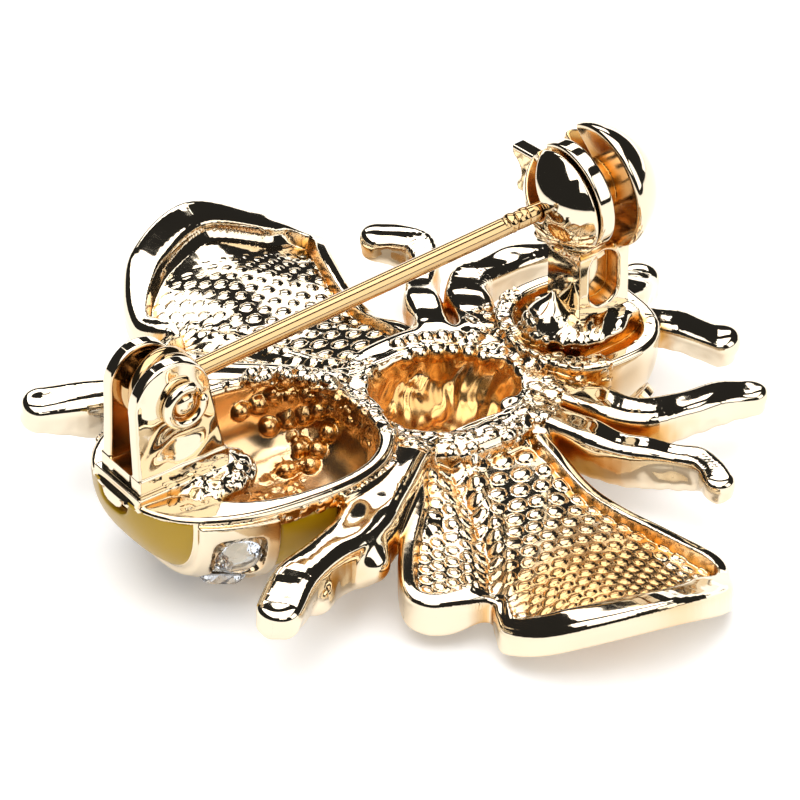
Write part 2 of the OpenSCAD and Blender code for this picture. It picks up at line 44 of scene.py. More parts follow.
def fromHex(text):
    # sRGB hex to linear
    out = []
    for i in (0, 2, 4):
        c = int(text[i:i + 2], 16) / 255
        out.append(c / 12.92 if c <= 0.04045 else ((c + 0.055) / 1.055) ** 2.4)
    return (*out, 1.0)


def addNode(tree, kind, settings=None, inputs=None, links=None):
    node = tree.nodes.new(kind)
    for key, value in (settings or {}).items():
        setattr(node, key, value)
    for key, value in (inputs or {}).items():
        node.inputs[key].default_value = value
    for key, source in (links or {}).items():
        tree.links.new(source, node.inputs[key])
    return node


def newMaterial(name):
    # an empty material, its tree, and the piece's own coordinates
    material = bpy.data.materials.new(name)
    material.use_nodes = True
    tree = material.node_tree
    tree.nodes.clear()
    return material, tree, addNode(tree, "ShaderNodeTexCoord").outputs["Object"]


def makeFinish(name, form, grain=None):
    # clouds vary colour and roughness, relief bends the reflections, attributes mark grain and the hollows,
    # where shade and reflection colour is painted and the metal made duller
    material, tree, where = newMaterial(name)
    links = {}
    if "cloud" in form:
        cloud = addNode(tree, "ShaderNodeTexNoise",
            inputs={"Scale": 1000 / form["cloud"]["mm"], "Detail": form["cloud"]["detail"]},
            links={"Vector": where}).outputs["Fac"]
    if "colours" in form:
        first, second = (fromHex(colour) for colour in form["colours"])
        mixed = addNode(tree, "ShaderNodeMix", {"data_type": "RGBA"}, {"A": first, "B": second},
            {"Factor": cloud})
        links["Base Color"] = mixed.outputs["Result"]
    if "roughRange" in form:
        rough = addNode(tree, "ShaderNodeMapRange", inputs=form["roughRange"], links={"Value": cloud})
        links["Roughness"] = rough.outputs["Result"]
    # the hollow mark mixes in the hollow colour, which is painted shade and painted reflection of the metal
    # mirroring itself, and adds roughness
    if "hollow" in form:
        closed = addNode(tree, "ShaderNodeAttribute", {"attribute_name": "cavity"}).outputs["Fac"]
        mixed = addNode(tree, "ShaderNodeMix", {"data_type": "RGBA"}, {"B": fromHex(form["hollow"])},
            {"Factor": closed, "A": links["Base Color"]})
        dull = addNode(tree, "ShaderNodeMath", {"operation": "MULTIPLY_ADD"}, {1: form["hollowRoughness"]},
            {0: closed, 2: links["Roughness"]})
        links = {"Base Color": mixed.outputs["Result"], "Roughness": dull.outputs["Value"]}
    if "relief" in form:
        relief = form["relief"]
        if "stretch" in relief:
            where = addNode(tree, "ShaderNodeMapping", inputs={"Scale": relief["stretch"]},
                links={"Vector": where}).outputs["Vector"]
        waves = addNode(tree, "ShaderNodeTexNoise",
            inputs={"Scale": 1000 / relief["mm"], "Detail": relief["detail"]}, links={"Vector": where})
        bump = addNode(tree, "ShaderNodeBump",
            inputs={"Strength": relief["strength"], "Distance": relief["liftMm"] * millimetre},
            links={"Height": waves.outputs["Fac"]})
        links["Normal"] = bump.outputs["Normal"]
    if grain:
        marks = addNode(tree, "ShaderNodeAttribute", {"attribute_name": "grain"})
        pits = addNode(tree, "ShaderNodeTexVoronoi", inputs={"Scale": 1000 / grain["mm"]},
            links={"Vector": where})
        depth = addNode(tree, "ShaderNodeMath", {"operation": "MULTIPLY"},
            links={0: pits.outputs["Distance"], 1: marks.outputs["Fac"]})
        bump = addNode(tree, "ShaderNodeBump",
            inputs={"Strength": grain["strength"], "Distance": grain["liftMm"] * millimetre},
            links={"Height": depth.outputs["Value"], "Normal": links["Normal"]})
        links["Normal"] = bump.outputs["Normal"]
    shader = addNode(tree, "ShaderNodeBsdfPrincipled", inputs=form["shader"], links=links)
    addNode(tree, "ShaderNodeOutputMaterial", links={"Surface": shader.outputs["BSDF"]})
    return material


# Electroplate over polished zinc and brass: pale champagne gold that mirrors the room. In the hollows its
# colour is painted deeper orange gold, a painted reflection of the metal mirroring itself and painted shade,
# and the polishing wheel leaves the hollows duller. It keeps the faint ripple of the metal, and on the casting
# a fine grain where that was left rough.
plating = {"shader": {"Metallic": 1.0}, "colours": ("E4D9C6", "DFCDAE"), "cloud": {"mm": 6.0, "detail": 2.0},
    "roughRange": {"From Min": 0.3, "From Max": 0.7, "To Min": 0.03, "To Max": 0.075}, "hollow": "D6A052",
    "hollowRoughness": 0.2, "relief": {"mm": 1.4, "detail": 1.5, "strength": 0.5, "liftMm": 0.035}}
castGrain = {"mm": 0.16, "strength": 0.25, "liftMm": 0.03}
castPlating = makeFinish("champagneGoldOnCastZinc", plating, castGrain)
findingPlating = makeFinish("champagneGoldOnPressedBrass", plating)

# Drawn wire with yellow-gold plate: fine lines along its length smear reflections across it
wireFinish = {"shader": {"Metallic": 1.0, "Base Color": fromHex("C4A476"), "Roughness": 0.1},
    "relief": {"mm": 0.05, "stretch": (1.0, 0.02, 1.0), "detail": 1.0, "strength": 0.05, "liftMm": 0.004}}
wirePlating = makeFinish("yellowGoldOnDrawnWire", wireFinish)

# Poured epoxy enamel: glossy mustard, a little cloudy, with a trace of orange peel
enamelFinish = {"shader": {"Roughness": 0.32, "IOR": 1.54, "Specular IOR Level": 0.3, "Coat Weight": 0.08,
    "Coat Roughness": 0.08}, "colours": ("A07C02", "B4900A"), "cloud": {"mm": 3.0, "detail": 3.0},
    "relief": {"mm": 3.0, "detail": 3.0, "strength": 0.1, "liftMm": 0.02}}
enamelMaterial = makeFinish("mustardEpoxyEnamel", enamelFinish)

# Lead-free crystal glass with a foiled back: cold white and blue-grey flashes between dark facets
glassFinish = {"clear": ("foiledCrystalGlass", "E6EEFA", 0.02), "grey": ("greyCrystalGlass", "B9BCB8", 0.06)}
clearGlass, greyGlass = (makeFinish(name, {"shader": {"Base Color": fromHex(tint), "Transmission Weight": 1.0,
    "IOR": 1.56}, "cloud": {"mm": 0.8, "detail": 2.0}, "roughRange": {"To Max": haze}})
    for name, tint, haze in (glassFinish["clear"], glassFinish["grey"]))
print("materials made")


# The metal is a distance field in mm about the thorax centre, below 0 inside it.
# Each shell: centre y, half length, half width, depth, rim height, rim slope
bee = {"planPower": 2.4, "sectionPower": 2.8, "lip": 0.35, "fillet": 0.35,
    "abdomen": (-11.6, 7.6, 5.4, 5.35, 2.3, 0.09), "abdomenHollow": (-10.6, 5.7, 4.5, 4.45, 2.21, 0.09),
    "thorax": (0.2, 5.2, 5.2, 4.0, 0.9, 0.0), "thoraxHollow": (0.1, 3.6, 3.5, 3.1, 0.9, 0.0),
    "thoraxShift": 0.35, "thoraxRound": 0.8, "head": (8.4, 3.7, 4.1, 4.7, 1.4, 0.0),
    "headDish": (8.4, 2.8, 3.2, 1.0, 1.4, 0.0), "headRound": 0.3}
bands = {"tailY": -15.248, "waistY": -7.8, "width": 3.8, "rise": 0.3, "drop": 0.35, "round": 0.12, "stones": 5,
    "firstTurn": 21.0, "seat": 1.36, "seatDeep": 0.62, "seatTaper": 0.6, "stoneDeep": 0.2, "stoneD": 2.3,
    "stoneH": 1.3}
enamel = {"depth": 0.45, "clear": 0.03, "tailTurn": 8.3, "tailEndY": -19.06, "inset": 0.14, "short": 1.2,
    "middleDrop": 0.85}
eyes = {"turn": 110.0, "around": 50.0, "out": 0.35, "stoneD": 1.3, "stoneH": 0.8, "cup": 0.9, "bore": 0.67,
    "boreDeep": 0.6, "rim": 0.4}


def smooth(x, low, high):
    t = np.clip((x - low) / (high - low), 0, 1)
    return t * t * (3 - 2 * t)


def join(a, b, k):
    return np.minimum(a, b) - np.maximum(k - np.abs(a - b), 0) ** 2 / (4 * k)


def meet(a, b, k):
    return np.maximum(a, b) + np.maximum(k - np.abs(a - b), 0) ** 2 / (4 * k)


def block(x, y, z, at, half):
    return np.maximum(np.maximum(np.abs(x - at[0]) - half[0], np.abs(y - at[1]) - half[1]),
        np.abs(z - at[2]) - half[2])


def blob(x, y, z, at, half, power=2.0):
    x, y, z = x - at[0], y - at[1], z - at[2]
    n = ((np.abs(x) / half[0]) ** power + (np.abs(y) / half[1]) ** power
         + (np.abs(z) / half[2]) ** power) ** (1 / power)
    r = np.sqrt(x * x + y * y + z * z)
    return r - r / np.maximum(n, 1e-4)


def dome(p, shell, out=0.0):
    mid, long, wide, deep, rim, slope = shell
    power, section = bee["planPower"], bee["sectionPower"]
    x, y = p[:, 0], p[:, 1] - mid
    dz = np.maximum(rim - slope * y - p[:, 2], 0)
    n = (((np.abs(x) / (wide + out)) ** section + (dz / (deep + out)) ** section) ** (power / section)
        + (np.abs(y) / (long + out)) ** power) ** (1 / power)
    r = np.sqrt(x * x + y * y + dz * dz)
    return r - r / np.maximum(n, 1e-4)


def rimZ(shell, y):
    return shell[4] - shell[5] * (y - shell[0])


def rimOver(p, shell):
    return (p[:, 2] - rimZ(shell, p[:, 1])) / math.hypot(1, shell[5])


def arm(v, power):
    return np.sign(v) * np.abs(v) ** (2 / power)


def shellPoint(shell, t, a, out=0.0):
    # a point on a shell: turn t runs along it from the tail end, turn a runs round it
    mid, long, wide, deep, rim, slope = shell
    t, a = np.radians(t), np.radians(a)
    swell = arm(np.sin(t), bee["planPower"])
    y = mid - (long + out) * arm(np.cos(t), bee["planPower"])
    x = (wide + out) * swell * arm(np.cos(a), bee["sectionPower"])
    z = rim - slope * (y - mid) - (deep + out) * swell * arm(np.sin(a), bee["sectionPower"])
    return np.stack(np.broadcast_arrays(x, y, z), -1)


def seatFrame(shell, t, a, out):
    # a seat on a shell: its centre, the way out of it, and two ways across it
    along = shellPoint(shell, t + 1, a) - shellPoint(shell, t - 1, a)
    n = -np.cross(along, shellPoint(shell, t, a + 1) - shellPoint(shell, t, a - 1))
    n /= np.linalg.norm(n)
    side = np.cross([0.0, 1.0, 0.0], n)
    side /= np.linalg.norm(side)
    return shellPoint(shell, t, a, out), n, side, np.cross(n, side)


def abdomenTurn(y):
    v = (bee["abdomen"][0] - y) / bee["abdomen"][1]
    return math.degrees(math.acos(math.copysign(abs(v) ** (bee["planPower"] / 2), v)))


def curveThrough(points, steps, closed=False):
    # a smooth curve through rows of numbers
    c = np.asarray(points, float)
    if not closed:
        c = np.vstack([2 * c[0] - c[1], c, 2 * c[-1] - c[-2]])
    u = (np.arange(steps) / steps)[:, None]
    out = []
    for i in range(len(c) if closed else len(c) - 3):
        a, b, d, e = (c[(i + k - (1 if closed else 0)) % len(c)] for k in range(4))
        square, cube = 2 * a - 5 * b + 4 * d - e, 3 * b - a - 3 * d + e
        out.append(0.5 * (2 * b + (d - a) * u + square * u ** 2 + cube * u ** 3))
    if not closed:
        out.append(c[-2][None])
    return np.vstack(out)


def wavy(p, size, seed=0.0):
    # cheap smooth noise between about -1 and 1
    x, y, z = (p * (2 * math.pi / size) + seed).T
    first = np.sin(x + 1.7 * np.sin(0.6 * y + seed)) * np.cos(y * 0.9 + 1.3 * np.sin(z))
    return (first + 0.6 * np.sin(1.9 * y + 2.1 * x + 2 * np.cos(0.7 * z))) / 1.6


def scatter(p, pitch, seed, shift=0.42):
    # distance from each point to the nearest of a jittered lattice of centres
    cell = np.floor(p / pitch)
    best = np.full(len(p), 9.0, np.float32)
    for step in np.ndindex(3, 3, 3):
        q = cell + np.subtract(step, 1)
        h = np.sin(q[:, 0] * 12.9898 + q[:, 1] * 78.233 + q[:, 2] * 37.719 + seed) * 43758.5453
        f = np.stack([h - np.floor(h), (h * 1.7) % 1.0, (h * 2.3) % 1.0], -1)
        d = (q + 0.5 + (f - 0.5) * 2 * shift) * pitch - p
        best = np.minimum(best, np.sqrt((d * d).sum(1)))
    return best


def nearestOf(p, centres):
    best = np.full(len(p), 9.0)
    for c in centres:
        best = np.minimum(best, np.sqrt(((p - c) ** 2).sum(1)))
    return best


def nearestOn(q, line, closed=False):
    # distance from points to a polyline
    ends = np.vstack([line, line[:1]]) if closed else line
    best = np.full(len(q), 1e9)
    for a, b in zip(ends[:-1], ends[1:]):
        d = b - a
        h = np.clip(((q - a) @ d) / (d @ d), 0, 1)
        best = np.minimum(best, np.hypot(*(q - a - h[:, None] * d).T))
    return best


limb = {"reach": 13.6, "power": 4.2, "crumple": 0.05, "lumps": 0.14, "fillet": 0.25,
    # x, y, z and radius of the knobs on the hind legs
    "knobs": [[8.35, -10.1, -0.35, 0.85], [8.95, -13.8, -0.2, 0.8]], "knobFillet": 0.8,
    # rows of place in shares of the reach, then width and depth in mm, from the root to the foot
    "hind": [[0.25, -0.34, 0.09, 2.6, 2.7], [0.39, -0.53, 0.115, 2.9, 3.2], [0.515, -0.72, 0.115, 2.7, 3.2],
        [0.58, -0.91, 0.12, 2.2, 2.9], [0.65, -1.09, 0.125, 2.3, 2.3], [0.735, -1.22, 0.1, 2.2, 1.6]],
    "middle": [[0.24, 0.16, 0.07, 1.9, 2.3], [0.38, 0.24, 0.065, 1.8, 2.6], [0.50, 0.29, 0.055, 1.8, 2.6],
        [0.62, 0.36, 0.04, 1.65, 2.5], [0.73, 0.47, 0.025, 1.55, 2.3], [0.81, 0.53, 0.02, 1.5, 2.0],
        [0.89, 0.54, 0.015, 1.5, 1.6], [0.955, 0.52, 0.01, 1.5, 1.3]],
    "farMiddleFoot": [[0.82, 0.50, 0.05, 1.8, 2.1], [0.89, 0.46, 0.055, 1.9, 1.8],
        [0.935, 0.41, 0.05, 1.9, 1.5]],
    "front": [[0.22, 0.34, 0.07, 2.1, 2.2], [0.35, 0.41, 0.065, 2.2, 2.3], [0.46, 0.46, 0.06, 2.2, 2.2],
        [0.53, 0.55, 0.05, 2.1, 2.0], [0.545, 0.69, 0.035, 1.9, 1.9], [0.555, 0.83, 0.015, 1.8, 1.7],
        [0.585, 0.95, 0.0, 1.8, 1.4]],
    "feeler": [[0.08, 0.85, 0.08, 1.9, 1.6], [0.15, 0.97, 0.04, 2.0, 1.6], [0.235, 1.085, -0.02, 2.1, 1.6]]}


def limbRows(table):
    rows = np.array(table)
    rows[:, :3] *= limb["reach"]
    return curveThrough(rows, 5)


limbs = {name: limbRows(limb[name]) for name in ("hind", "middle", "front", "feeler")}
limbs["farMiddle"] = limbRows(limb["middle"][:5] + limb["farMiddleFoot"])


def limbDistance(p, rows):
    out = np.full(len(p), 5.0)
    low, high = rows[:, :2].min(0) - 1.8, rows[:, :2].max(0) + 1.8
    near = ((p[:, :2] > low) & (p[:, :2] < high)).all(1)
    q = p[near]
    least = np.full(len(q), 1e9)
    mid = np.zeros((len(q), rows.shape[1]))
    for a, b in zip(rows[:-1], rows[1:]):
        d = b[:2] - a[:2]
        h = np.clip(((q[:, :2] - a[:2]) @ d) / max(d @ d, 1e-9), 0, 1)
        away = ((q[:, :2] - a[:2] - h[:, None] * d) ** 2).sum(1)
        closer = away < least
        least[closer] = away[closer]
        mid[closer] = (a + (b - a) * h[:, None])[closer]
    power, width, depth = limb["power"], mid[:, 3], mid[:, 4]
    across = np.sqrt(least)
    dz = q[:, 2] - (mid[:, 2] - depth / 2)
    n = ((across / (width / 2)) ** power + (np.abs(dz) / (depth / 2)) ** power) ** (1 / power)
    r = np.hypot(across, dz)
    # the walls are crumpled, the tops are polished and only roll a little
    wall = smooth(-dz / depth, -0.15, 0.25)
    crumple = wall * limb["crumple"] * wavy(q, 2.4, 2.2)
    lumps = (1 - wall) * limb["lumps"] * wavy(q * (1, 1, 0.3), 7.5, 0.8)
    out[near] = r - r / np.maximum(n, 1e-3) + crumple + lumps
    return out


wingForm = {"reach": 20.2, "length": 15.0, "fall": 2.0, "thick": 1.5, "lobeThicker": 0.5, "fillet": 0.3,
    "dish": 0.35, "dishOuter": 0.6, "dishFade": 9.0, "roll": 0.7, "bandWide": 2.0, "bandSlim": 0.8,
    "farWide": 0.4, "farLift": 0.35, "dotNear": 0.46, "dotGrow": 0.045, "dotLift": 0.2, "dotR": 0.42,
    # the dots of fore wing and hind wing: where their rows start, the rows' heading, seed
    "foreDots": ((18.4, -0.6), 157, 0.0), "hindDots": ((10.6, -9.7), 112, 5.0),
    "creaseDeep": 0.32, "creaseLip": 0.16, "notch": (13.0, -6.9), "notchScore": 0.05,
    "crease": [[13.4, -7.2], [12.4, -6.0], [10.4, -4.8], [7.6, -3.7], [4.0, -2.6]],
    "outer": [[12.4, -5.4], [13.6, -7.0], [15.0, -7.5], [17.0, -6.7], [18.8, -4.8], [20.2, -1.05],
        [20.0, 2.0], [19.4, 4.5], [18.9, 7.0]],
    # the middle and the outline, in shares of reach, length and fall
    "mid": (0.55, -0.15, -0.1),
    "outline": [[0.17, 0.14, 0.40], [0.30, 0.16, 0.10], [0.43, 0.17, -0.38], [0.55, 0.19, -0.46],
        [0.68, 0.25, -0.58], [0.79, 0.32, -0.85], [0.86, 0.30, -0.95], [0.95, 0.19, -0.50],
        [1.0, -0.07, 0.35], [0.93, -0.32, 0.15], [0.84, -0.44, -0.35], [0.745, -0.49, -0.70],
        [0.69, -0.47, -0.62], [0.655, -0.455, -0.50], [0.63, -0.53, -0.45], [0.59, -0.63, -0.42],
        [0.52, -0.66, -0.30], [0.41, -0.57, -0.10], [0.30, -0.42, 0.2], [0.17, -0.25, 0.45]]}
wingStep = 0.055
wingGrid = (np.arange(2.4, 21.0, wingStep), np.arange(-11.0, 5.8, wingStep))


def wingDots(q, origin, heading, seed):
    # staggered rows of dots cross the wing and close up towards its outer edge
    near, grow = wingForm["dotNear"], wingForm["dotGrow"]
    turn = math.radians(heading)
    across = (q - origin) @ (-math.sin(turn), math.cos(turn))
    away = (q - origin) @ (math.cos(turn), math.sin(turn)) + 0.015 * across ** 2
    row = np.log(np.maximum(near + grow * away, 0.05) / near) / grow
    number = np.floor(row)
    pitch = near * np.exp(grow * (number + 0.5))
    longer = 1.2 + 0.5 * np.exp(-np.maximum(away, 0) / 2.5)
    position = across / (near * np.exp(grow * number) * longer) + 0.5 * (number % 2)
    place = np.floor(position)
    dr = row - number - 0.5 + 0.05 * np.sin(place * 12.7 + number * 7.3)
    ds = position - place - 0.5 + 0.05 * np.sin(place * 5.1 + number * 3.7)
    radius = wingForm["dotR"] + 0.04 * np.sin(place * 9.1 + number * 4.3 + seed)
    return np.clip(pitch / 0.85, 0.3, 1.1) * np.sqrt(np.maximum(1 - (dr / radius) ** 2 - (ds / radius) ** 2, 0))


def makeWingTables():
    # heights of a wing's back, its underside, its outline distance and its dots, over x and y
    unit = np.array([wingForm["reach"], wingForm["length"], wingForm["fall"]])
    edge = curveThrough(np.array(wingForm["outline"]) * unit, 8, closed=True)
    mid = np.array(wingForm["mid"]) * unit
    gx, gy = np.meshgrid(*wingGrid, indexing="ij")
    q = np.stack([gx.ravel(), gy.ravel()], -1)
    x, y = q.T
    ring, away = edge - mid, q - mid[:2]
    ringTurn, turn = (np.arctan2(v[:, 1], v[:, 0]) for v in (ring, away))
    r, z = (np.interp(turn, ringTurn, v, period=2 * math.pi)
        for v in (np.hypot(ring[:, 0], ring[:, 1]), edge[:, 2]))
    share = np.hypot(away[:, 0], away[:, 1]) / r
    signed = nearestOn(q, edge[:, :2], True) * np.where(share < 1, -1, 1)
    base = mid[2] + (z - mid[2]) * np.minimum(share, 1.1) ** 2
    deep = np.maximum(-signed, 0)
    # the polished roll is broad along the outer edge and slim elsewhere
    slim, broad = wingForm["bandSlim"], wingForm["bandWide"]
    wide = slim + (broad - slim) * smooth(x, 14.3, 17.5) * (1 - smooth(y, 1.8, 4.0))
    roll = np.maximum(1 - (2 * np.clip(deep / wide, 0, 1) - 1) ** 4 * 0.97, 0) ** 0.25 - 1
    inField = smooth(deep, wide * 0.9, wide * 1.2)
    fromOuter = nearestOn(q, curveThrough(wingForm["outer"], 12))
    fade = np.exp(-np.maximum(fromOuter - 1.8, 0) / wingForm["dishFade"])
    dish = wingForm["dish"] + wingForm["dishOuter"] * fade
    top = base + wingForm["roll"] * wide / 2 * roll * (1 - inField) - dish * inField
    # crease between fore wing and hind wing, from the notch to the root
    crease = np.array(wingForm["crease"])
    fromCrease = nearestOn(q, crease)
    hind = (y < np.interp(x, crease[::-1, 0], crease[::-1, 1])) & (x < 13.6)
    top -= wingForm["creaseDeep"] * np.exp(-(fromCrease / 0.45) ** 2) * smooth(deep, 0.1, 0.6)
    top += wingForm["creaseLip"] * np.exp(-((fromCrease - 0.95) / 0.4) ** 2) * smooth(deep, 0.3, 0.9)
    # fine scores meet at the notch, and the dots fade out there and before the roll
    away = q - wingForm["notch"]
    near = np.exp(-np.hypot(*away.T) / 1.6)
    top += wingForm["notchScore"] * np.sin(np.arctan2(away[:, 1], away[:, 0]) * 26) * near * inField
    field = inField * smooth(deep, wide, wide * 1.2 + 0.1) * (1 - 0.9 * smooth(near, 0.25, 0.5))
    dots = np.where(hind, wingDots(q, *wingForm["hindDots"]), wingDots(q, *wingForm["foreDots"])) * field
    tables = {"top": top, "base": base, "edge": signed, "field": field, "dots": dots}
    return {name: values.reshape(gx.shape) for name, values in tables.items()}


wingTables = makeWingTables()
print("wing tables made")


def onWing(name, x, y):
    table, (gx, gy) = wingTables[name], wingGrid
    u = np.clip((x - gx[0]) / wingStep, 0, len(gx) - 2.001)
    v = np.clip((y - gy[0]) / wingStep, 0, len(gy) - 2.001)
    i, j = u.astype(int), v.astype(int)
    u, v = u - i, v - j
    return (table[i, j] * (1 - u) * (1 - v) + table[i + 1, j] * u * (1 - v) + table[i, j + 1] * (1 - u) * v
        + table[i + 1, j + 1] * u * v)


def wingDistance(p, far):
    # the far wing stands a little higher and wider towards its tip
    x, y, z = p.T
    tip = far * smooth(x, 9.5, 16.0)
    x = x - wingForm["farWide"] * tip
    y = y + wingForm["farWide"] * tip * smooth(-y, 0.0, 5.0)
    z = z - wingForm["farLift"] * tip
    thick = wingForm["thick"] + wingForm["lobeThicker"] * smooth(-y, 7.0, 8.6) * (1 - far)
    # on the far wing the dots are smaller and stop short of its polished tip
    dots = onWing("dots", x, y)
    smaller = np.maximum(dots - 0.34, 0) * 1.1 * (1 - smooth(x, 14.5, 17.0))
    top = onWing("top", x, y) + wingForm["dotLift"] * np.where(far, smaller, dots)
    plate = meet((z - top) * 0.93, (onWing("base", x, y) - thick - z) * 0.95, 0.1)
    return meet(onWing("edge", x, y), plate, 0.35)


cast = {"bump": 0.5, "bumpBlend": 0.08, "thoraxBump": 0.42,
    # where the bumps stand in the abdomen: turn along it, turn round it, lift towards the rim
    "bumps": [(111, 180, 0.3), (118.5, 180, 0.3), (129.5, 180, 0.3), (141, 180, 0.3), (150, 180, 0.3),
        (159, 180, 0.3), (113.5, 169.5, 0), (122.5, 174, 0), (134, 178, -0.3), (144, 178.5, -0.3),
        (156, 179, -0.3), (165, 180, -0.3), (104, 167.5, 0), (117.5, 150.5, 0), (129, 153, 0),
        (140, 153, 0), (150.5, 156, 0), (160.5, 154.5, 0), (150.5, 120.5, 0), (130.5, 121.5, 0),
        (137.5, 111, 0), (127.5, 102.5, 0), (115, 109, 0)],
    # two rows of bumps round the thorax: radius, height, first turn, end and step
    "thoraxRows": ((4.35, 0.8, 126, 186, 10), (3.55, 0.55, 112, 182, 13)),
    "crease": 0.28, "creaseSize": 3.6, "bossAt": (0, 6.55, 1.9), "boss": (1.2, 1.25, 1.25),
    "peak": 1.85, "peakR": 1.12, "peakLean": 0.35, "peakTop": 3.7,
    # pads for the findings, the solder on them and the web at the wing root: middle, half size
    "pads": (((0, -16.1, 2.75), (1.9, 2.8, 0.5)), ((0, 9.0, 0.55), (1.9, 1.8, 1.5))),
    "solder": (((1.2, -14.6, 2.35), (1.9, 2.6, 0.95)), ((0.3, 8.2, 1.7), (2.3, 2.6, 0.8))),
    "solderWaves": ((0.10, 2.2, 1.0), (0.16, 2.6, 4.0)),
    "web": ((6.4, -6.3, -0.95), (1.25, 1.5, 0.7)), "webFillet": 0.5}
thoraxMid = (bee["thoraxShift"], bee["thoraxHollow"][0])
bumps = np.array([shellPoint(bee["abdomenHollow"], t, a) + (0, 0, up) for t, a, up in cast["bumps"]])
thoraxBumps = np.array([(thoraxMid[0] + r * math.cos(math.radians(a)),
    thoraxMid[1] + r * math.sin(math.radians(a)), z) for r, z, *turns in cast["thoraxRows"]
    for a in range(*turns)])
stoneSeats = [seatFrame(bee["abdomen"], abdomenTurn(y), a, bands["rise"] - bands["stoneDeep"])
    for y in (bands["tailY"], bands["waistY"]) for a in np.linspace(bands["firstTurn"],
    180 - bands["firstTurn"], bands["stones"])]
eyeSeats = [seatFrame(bee["head"], eyes["turn"], a, eyes["out"])
    for a in (eyes["around"], 180 - eyes["around"])]


def castAbdomen(p):
    shell, half = bee["abdomen"], bands["width"] / 2
    wall = dome(p, shell)
    under = rimZ(shell, p[:, 1]) - p[:, 2]
    body = wall
    for y in (bands["tailY"], bands["waistY"]):
        band = meet(dome(p, shell, bands["rise"]), np.abs(p[:, 1] - y) - half, bands["round"])
        body = join(body, meet(band, bands["drop"] - under, bands["round"]), 0.08)
    # recesses that the enamel lies in
    inner = dome(p, shell, -enamel["depth"] - enamel["clear"])
    edge = half + enamel["inset"]
    for low, high, drop in ((enamel["tailEndY"], bands["tailY"] - edge, bands["drop"]),
            (bands["tailY"] + edge, bands["waistY"] - edge, enamel["middleDrop"])):
        across = np.maximum(low - p[:, 1], p[:, 1] - high)
        recess = np.maximum(np.maximum(-inner, across), drop - enamel["clear"] - under)
        body = meet(body, -recess, 0.06)
    body = meet(body, rimOver(p, shell), bee["lip"])
    body = meet(body, -dome(p, bee["abdomenHollow"]), bee["lip"])
    bumped = join(body, nearestOf(p, bumps) - cast["bump"], cast["bumpBlend"])
    return np.where(wall < 0, bumped, body)


def castFront(p):
    x, y, z = p.T
    chest = meet(dome(p, bee["thorax"]), rimOver(p, bee["thorax"]), bee["thoraxRound"])
    # long creases run lengthways through the thorax
    crease = cast["crease"] * wavy(p * (1, 0.3, 1), cast["creaseSize"], 2.0) + 0.05 * wavy(p, 1.6, 5.0)
    hollow = dome(p - (bee["thoraxShift"], 0, 0), bee["thoraxHollow"]) + crease
    chest = meet(chest, -hollow, 0.3)
    chest = join(chest, nearestOf(p, thoraxBumps) - cast["thoraxBump"], 0.1)
    face = meet(dome(p, bee["head"]), rimOver(p, bee["head"]), bee["headRound"])
    face = meet(face, -dome(p, bee["headDish"]), bee["headRound"])
    # the drop-shaped boss on the neck: a blob with a leaning peak
    at = cast["bossAt"]
    boss = blob(x, y, z, at, cast["boss"])
    share = (z - at[2]) / cast["peak"]
    peak = np.hypot(x, y - at[1] - cast["peakLean"] * np.clip(share, 0, 1))
    peak = (peak - cast["peakR"] * (1 - share) - 0.06) * 0.85
    peak = meet(meet(peak, at[2] - z, 0.05), z - cast["peakTop"], 0.1)
    return join(join(chest, face, 0.5), join(boss, peak, 0.35), 0.2)


def casting(p):
    x, y, z = p.T
    mirrored = np.column_stack([np.abs(x), y, z])
    d = np.full(len(p), 4.0)
    rear = y < -1.5
    if rear.any():
        d[rear] = castAbdomen(p[rear])
    front = y > -6.5
    if front.any():
        d[front] = join(d[front], castFront(p[front]), bee["fillet"])
    # seats for the stones: square with rounded corners
    for c, n, u, v in stoneSeats:
        near = ((p - c) ** 2).sum(1) < 9
        if near.any():
            q = p[near] - c
            a, b, h = q @ u, q @ v, q @ n
            hole = (np.abs(a) ** 5 + np.abs(b) ** 5) ** 0.2 - bands["seat"]
            cup = np.maximum(hole + bands["seatTaper"] * np.maximum(-h, 0), -bands["seatDeep"] - h)
            d[near] = meet(d[near], -cup, 0.1)
    for name in ("hind", "front", "feeler"):
        d = join(d, limbDistance(mirrored, limbs[name]), limb["fillet"])
    for *at, r in limb["knobs"]:
        d = join(d, np.sqrt(((mirrored - at) ** 2).sum(1)) - r, limb["knobFillet"])
    for name, part in (("middle", x > 0), ("farMiddle", x <= 0)):
        if part.any():
            d[part] = join(d[part], limbDistance(mirrored[part], limbs[name]), limb["fillet"])
    # the pads that carry the hinge and the catch post, with solder run round them
    for pad, solder, (lift, size, seed) in zip(cast["pads"], cast["solder"], cast["solderWaves"]):
        flow = blob(x, y, z, *solder) + lift * wavy(p, size, seed)
        d = join(d, join(block(x, y, z, *pad), flow, 0.3), 0.15)
    wings = np.abs(x) > 2.6
    if wings.any():
        d[wings] = join(d[wings], wingDistance(mirrored[wings], x[wings] < 0), wingForm["fillet"])
    # a web of metal closes the corner between hind leg, body and wing root
    d = join(d, blob(np.abs(x), y, z, *cast["web"]), cast["webFillet"])
    for c, n, u, v in eyeSeats:
        near = ((p - c) ** 2).sum(1) < 4
        if near.any():
            q = p[near] - c
            r, h = np.hypot(q @ u, q @ v), q @ n
            ring = np.maximum(r - eyes["cup"], np.abs(h + 0.35) - eyes["rim"])
            hole = np.maximum(r - eyes["bore"], -eyes["boreDeep"] - h)
            d[near] = meet(join(d[near], ring, 0.1), -hole, 0.08)
    return d


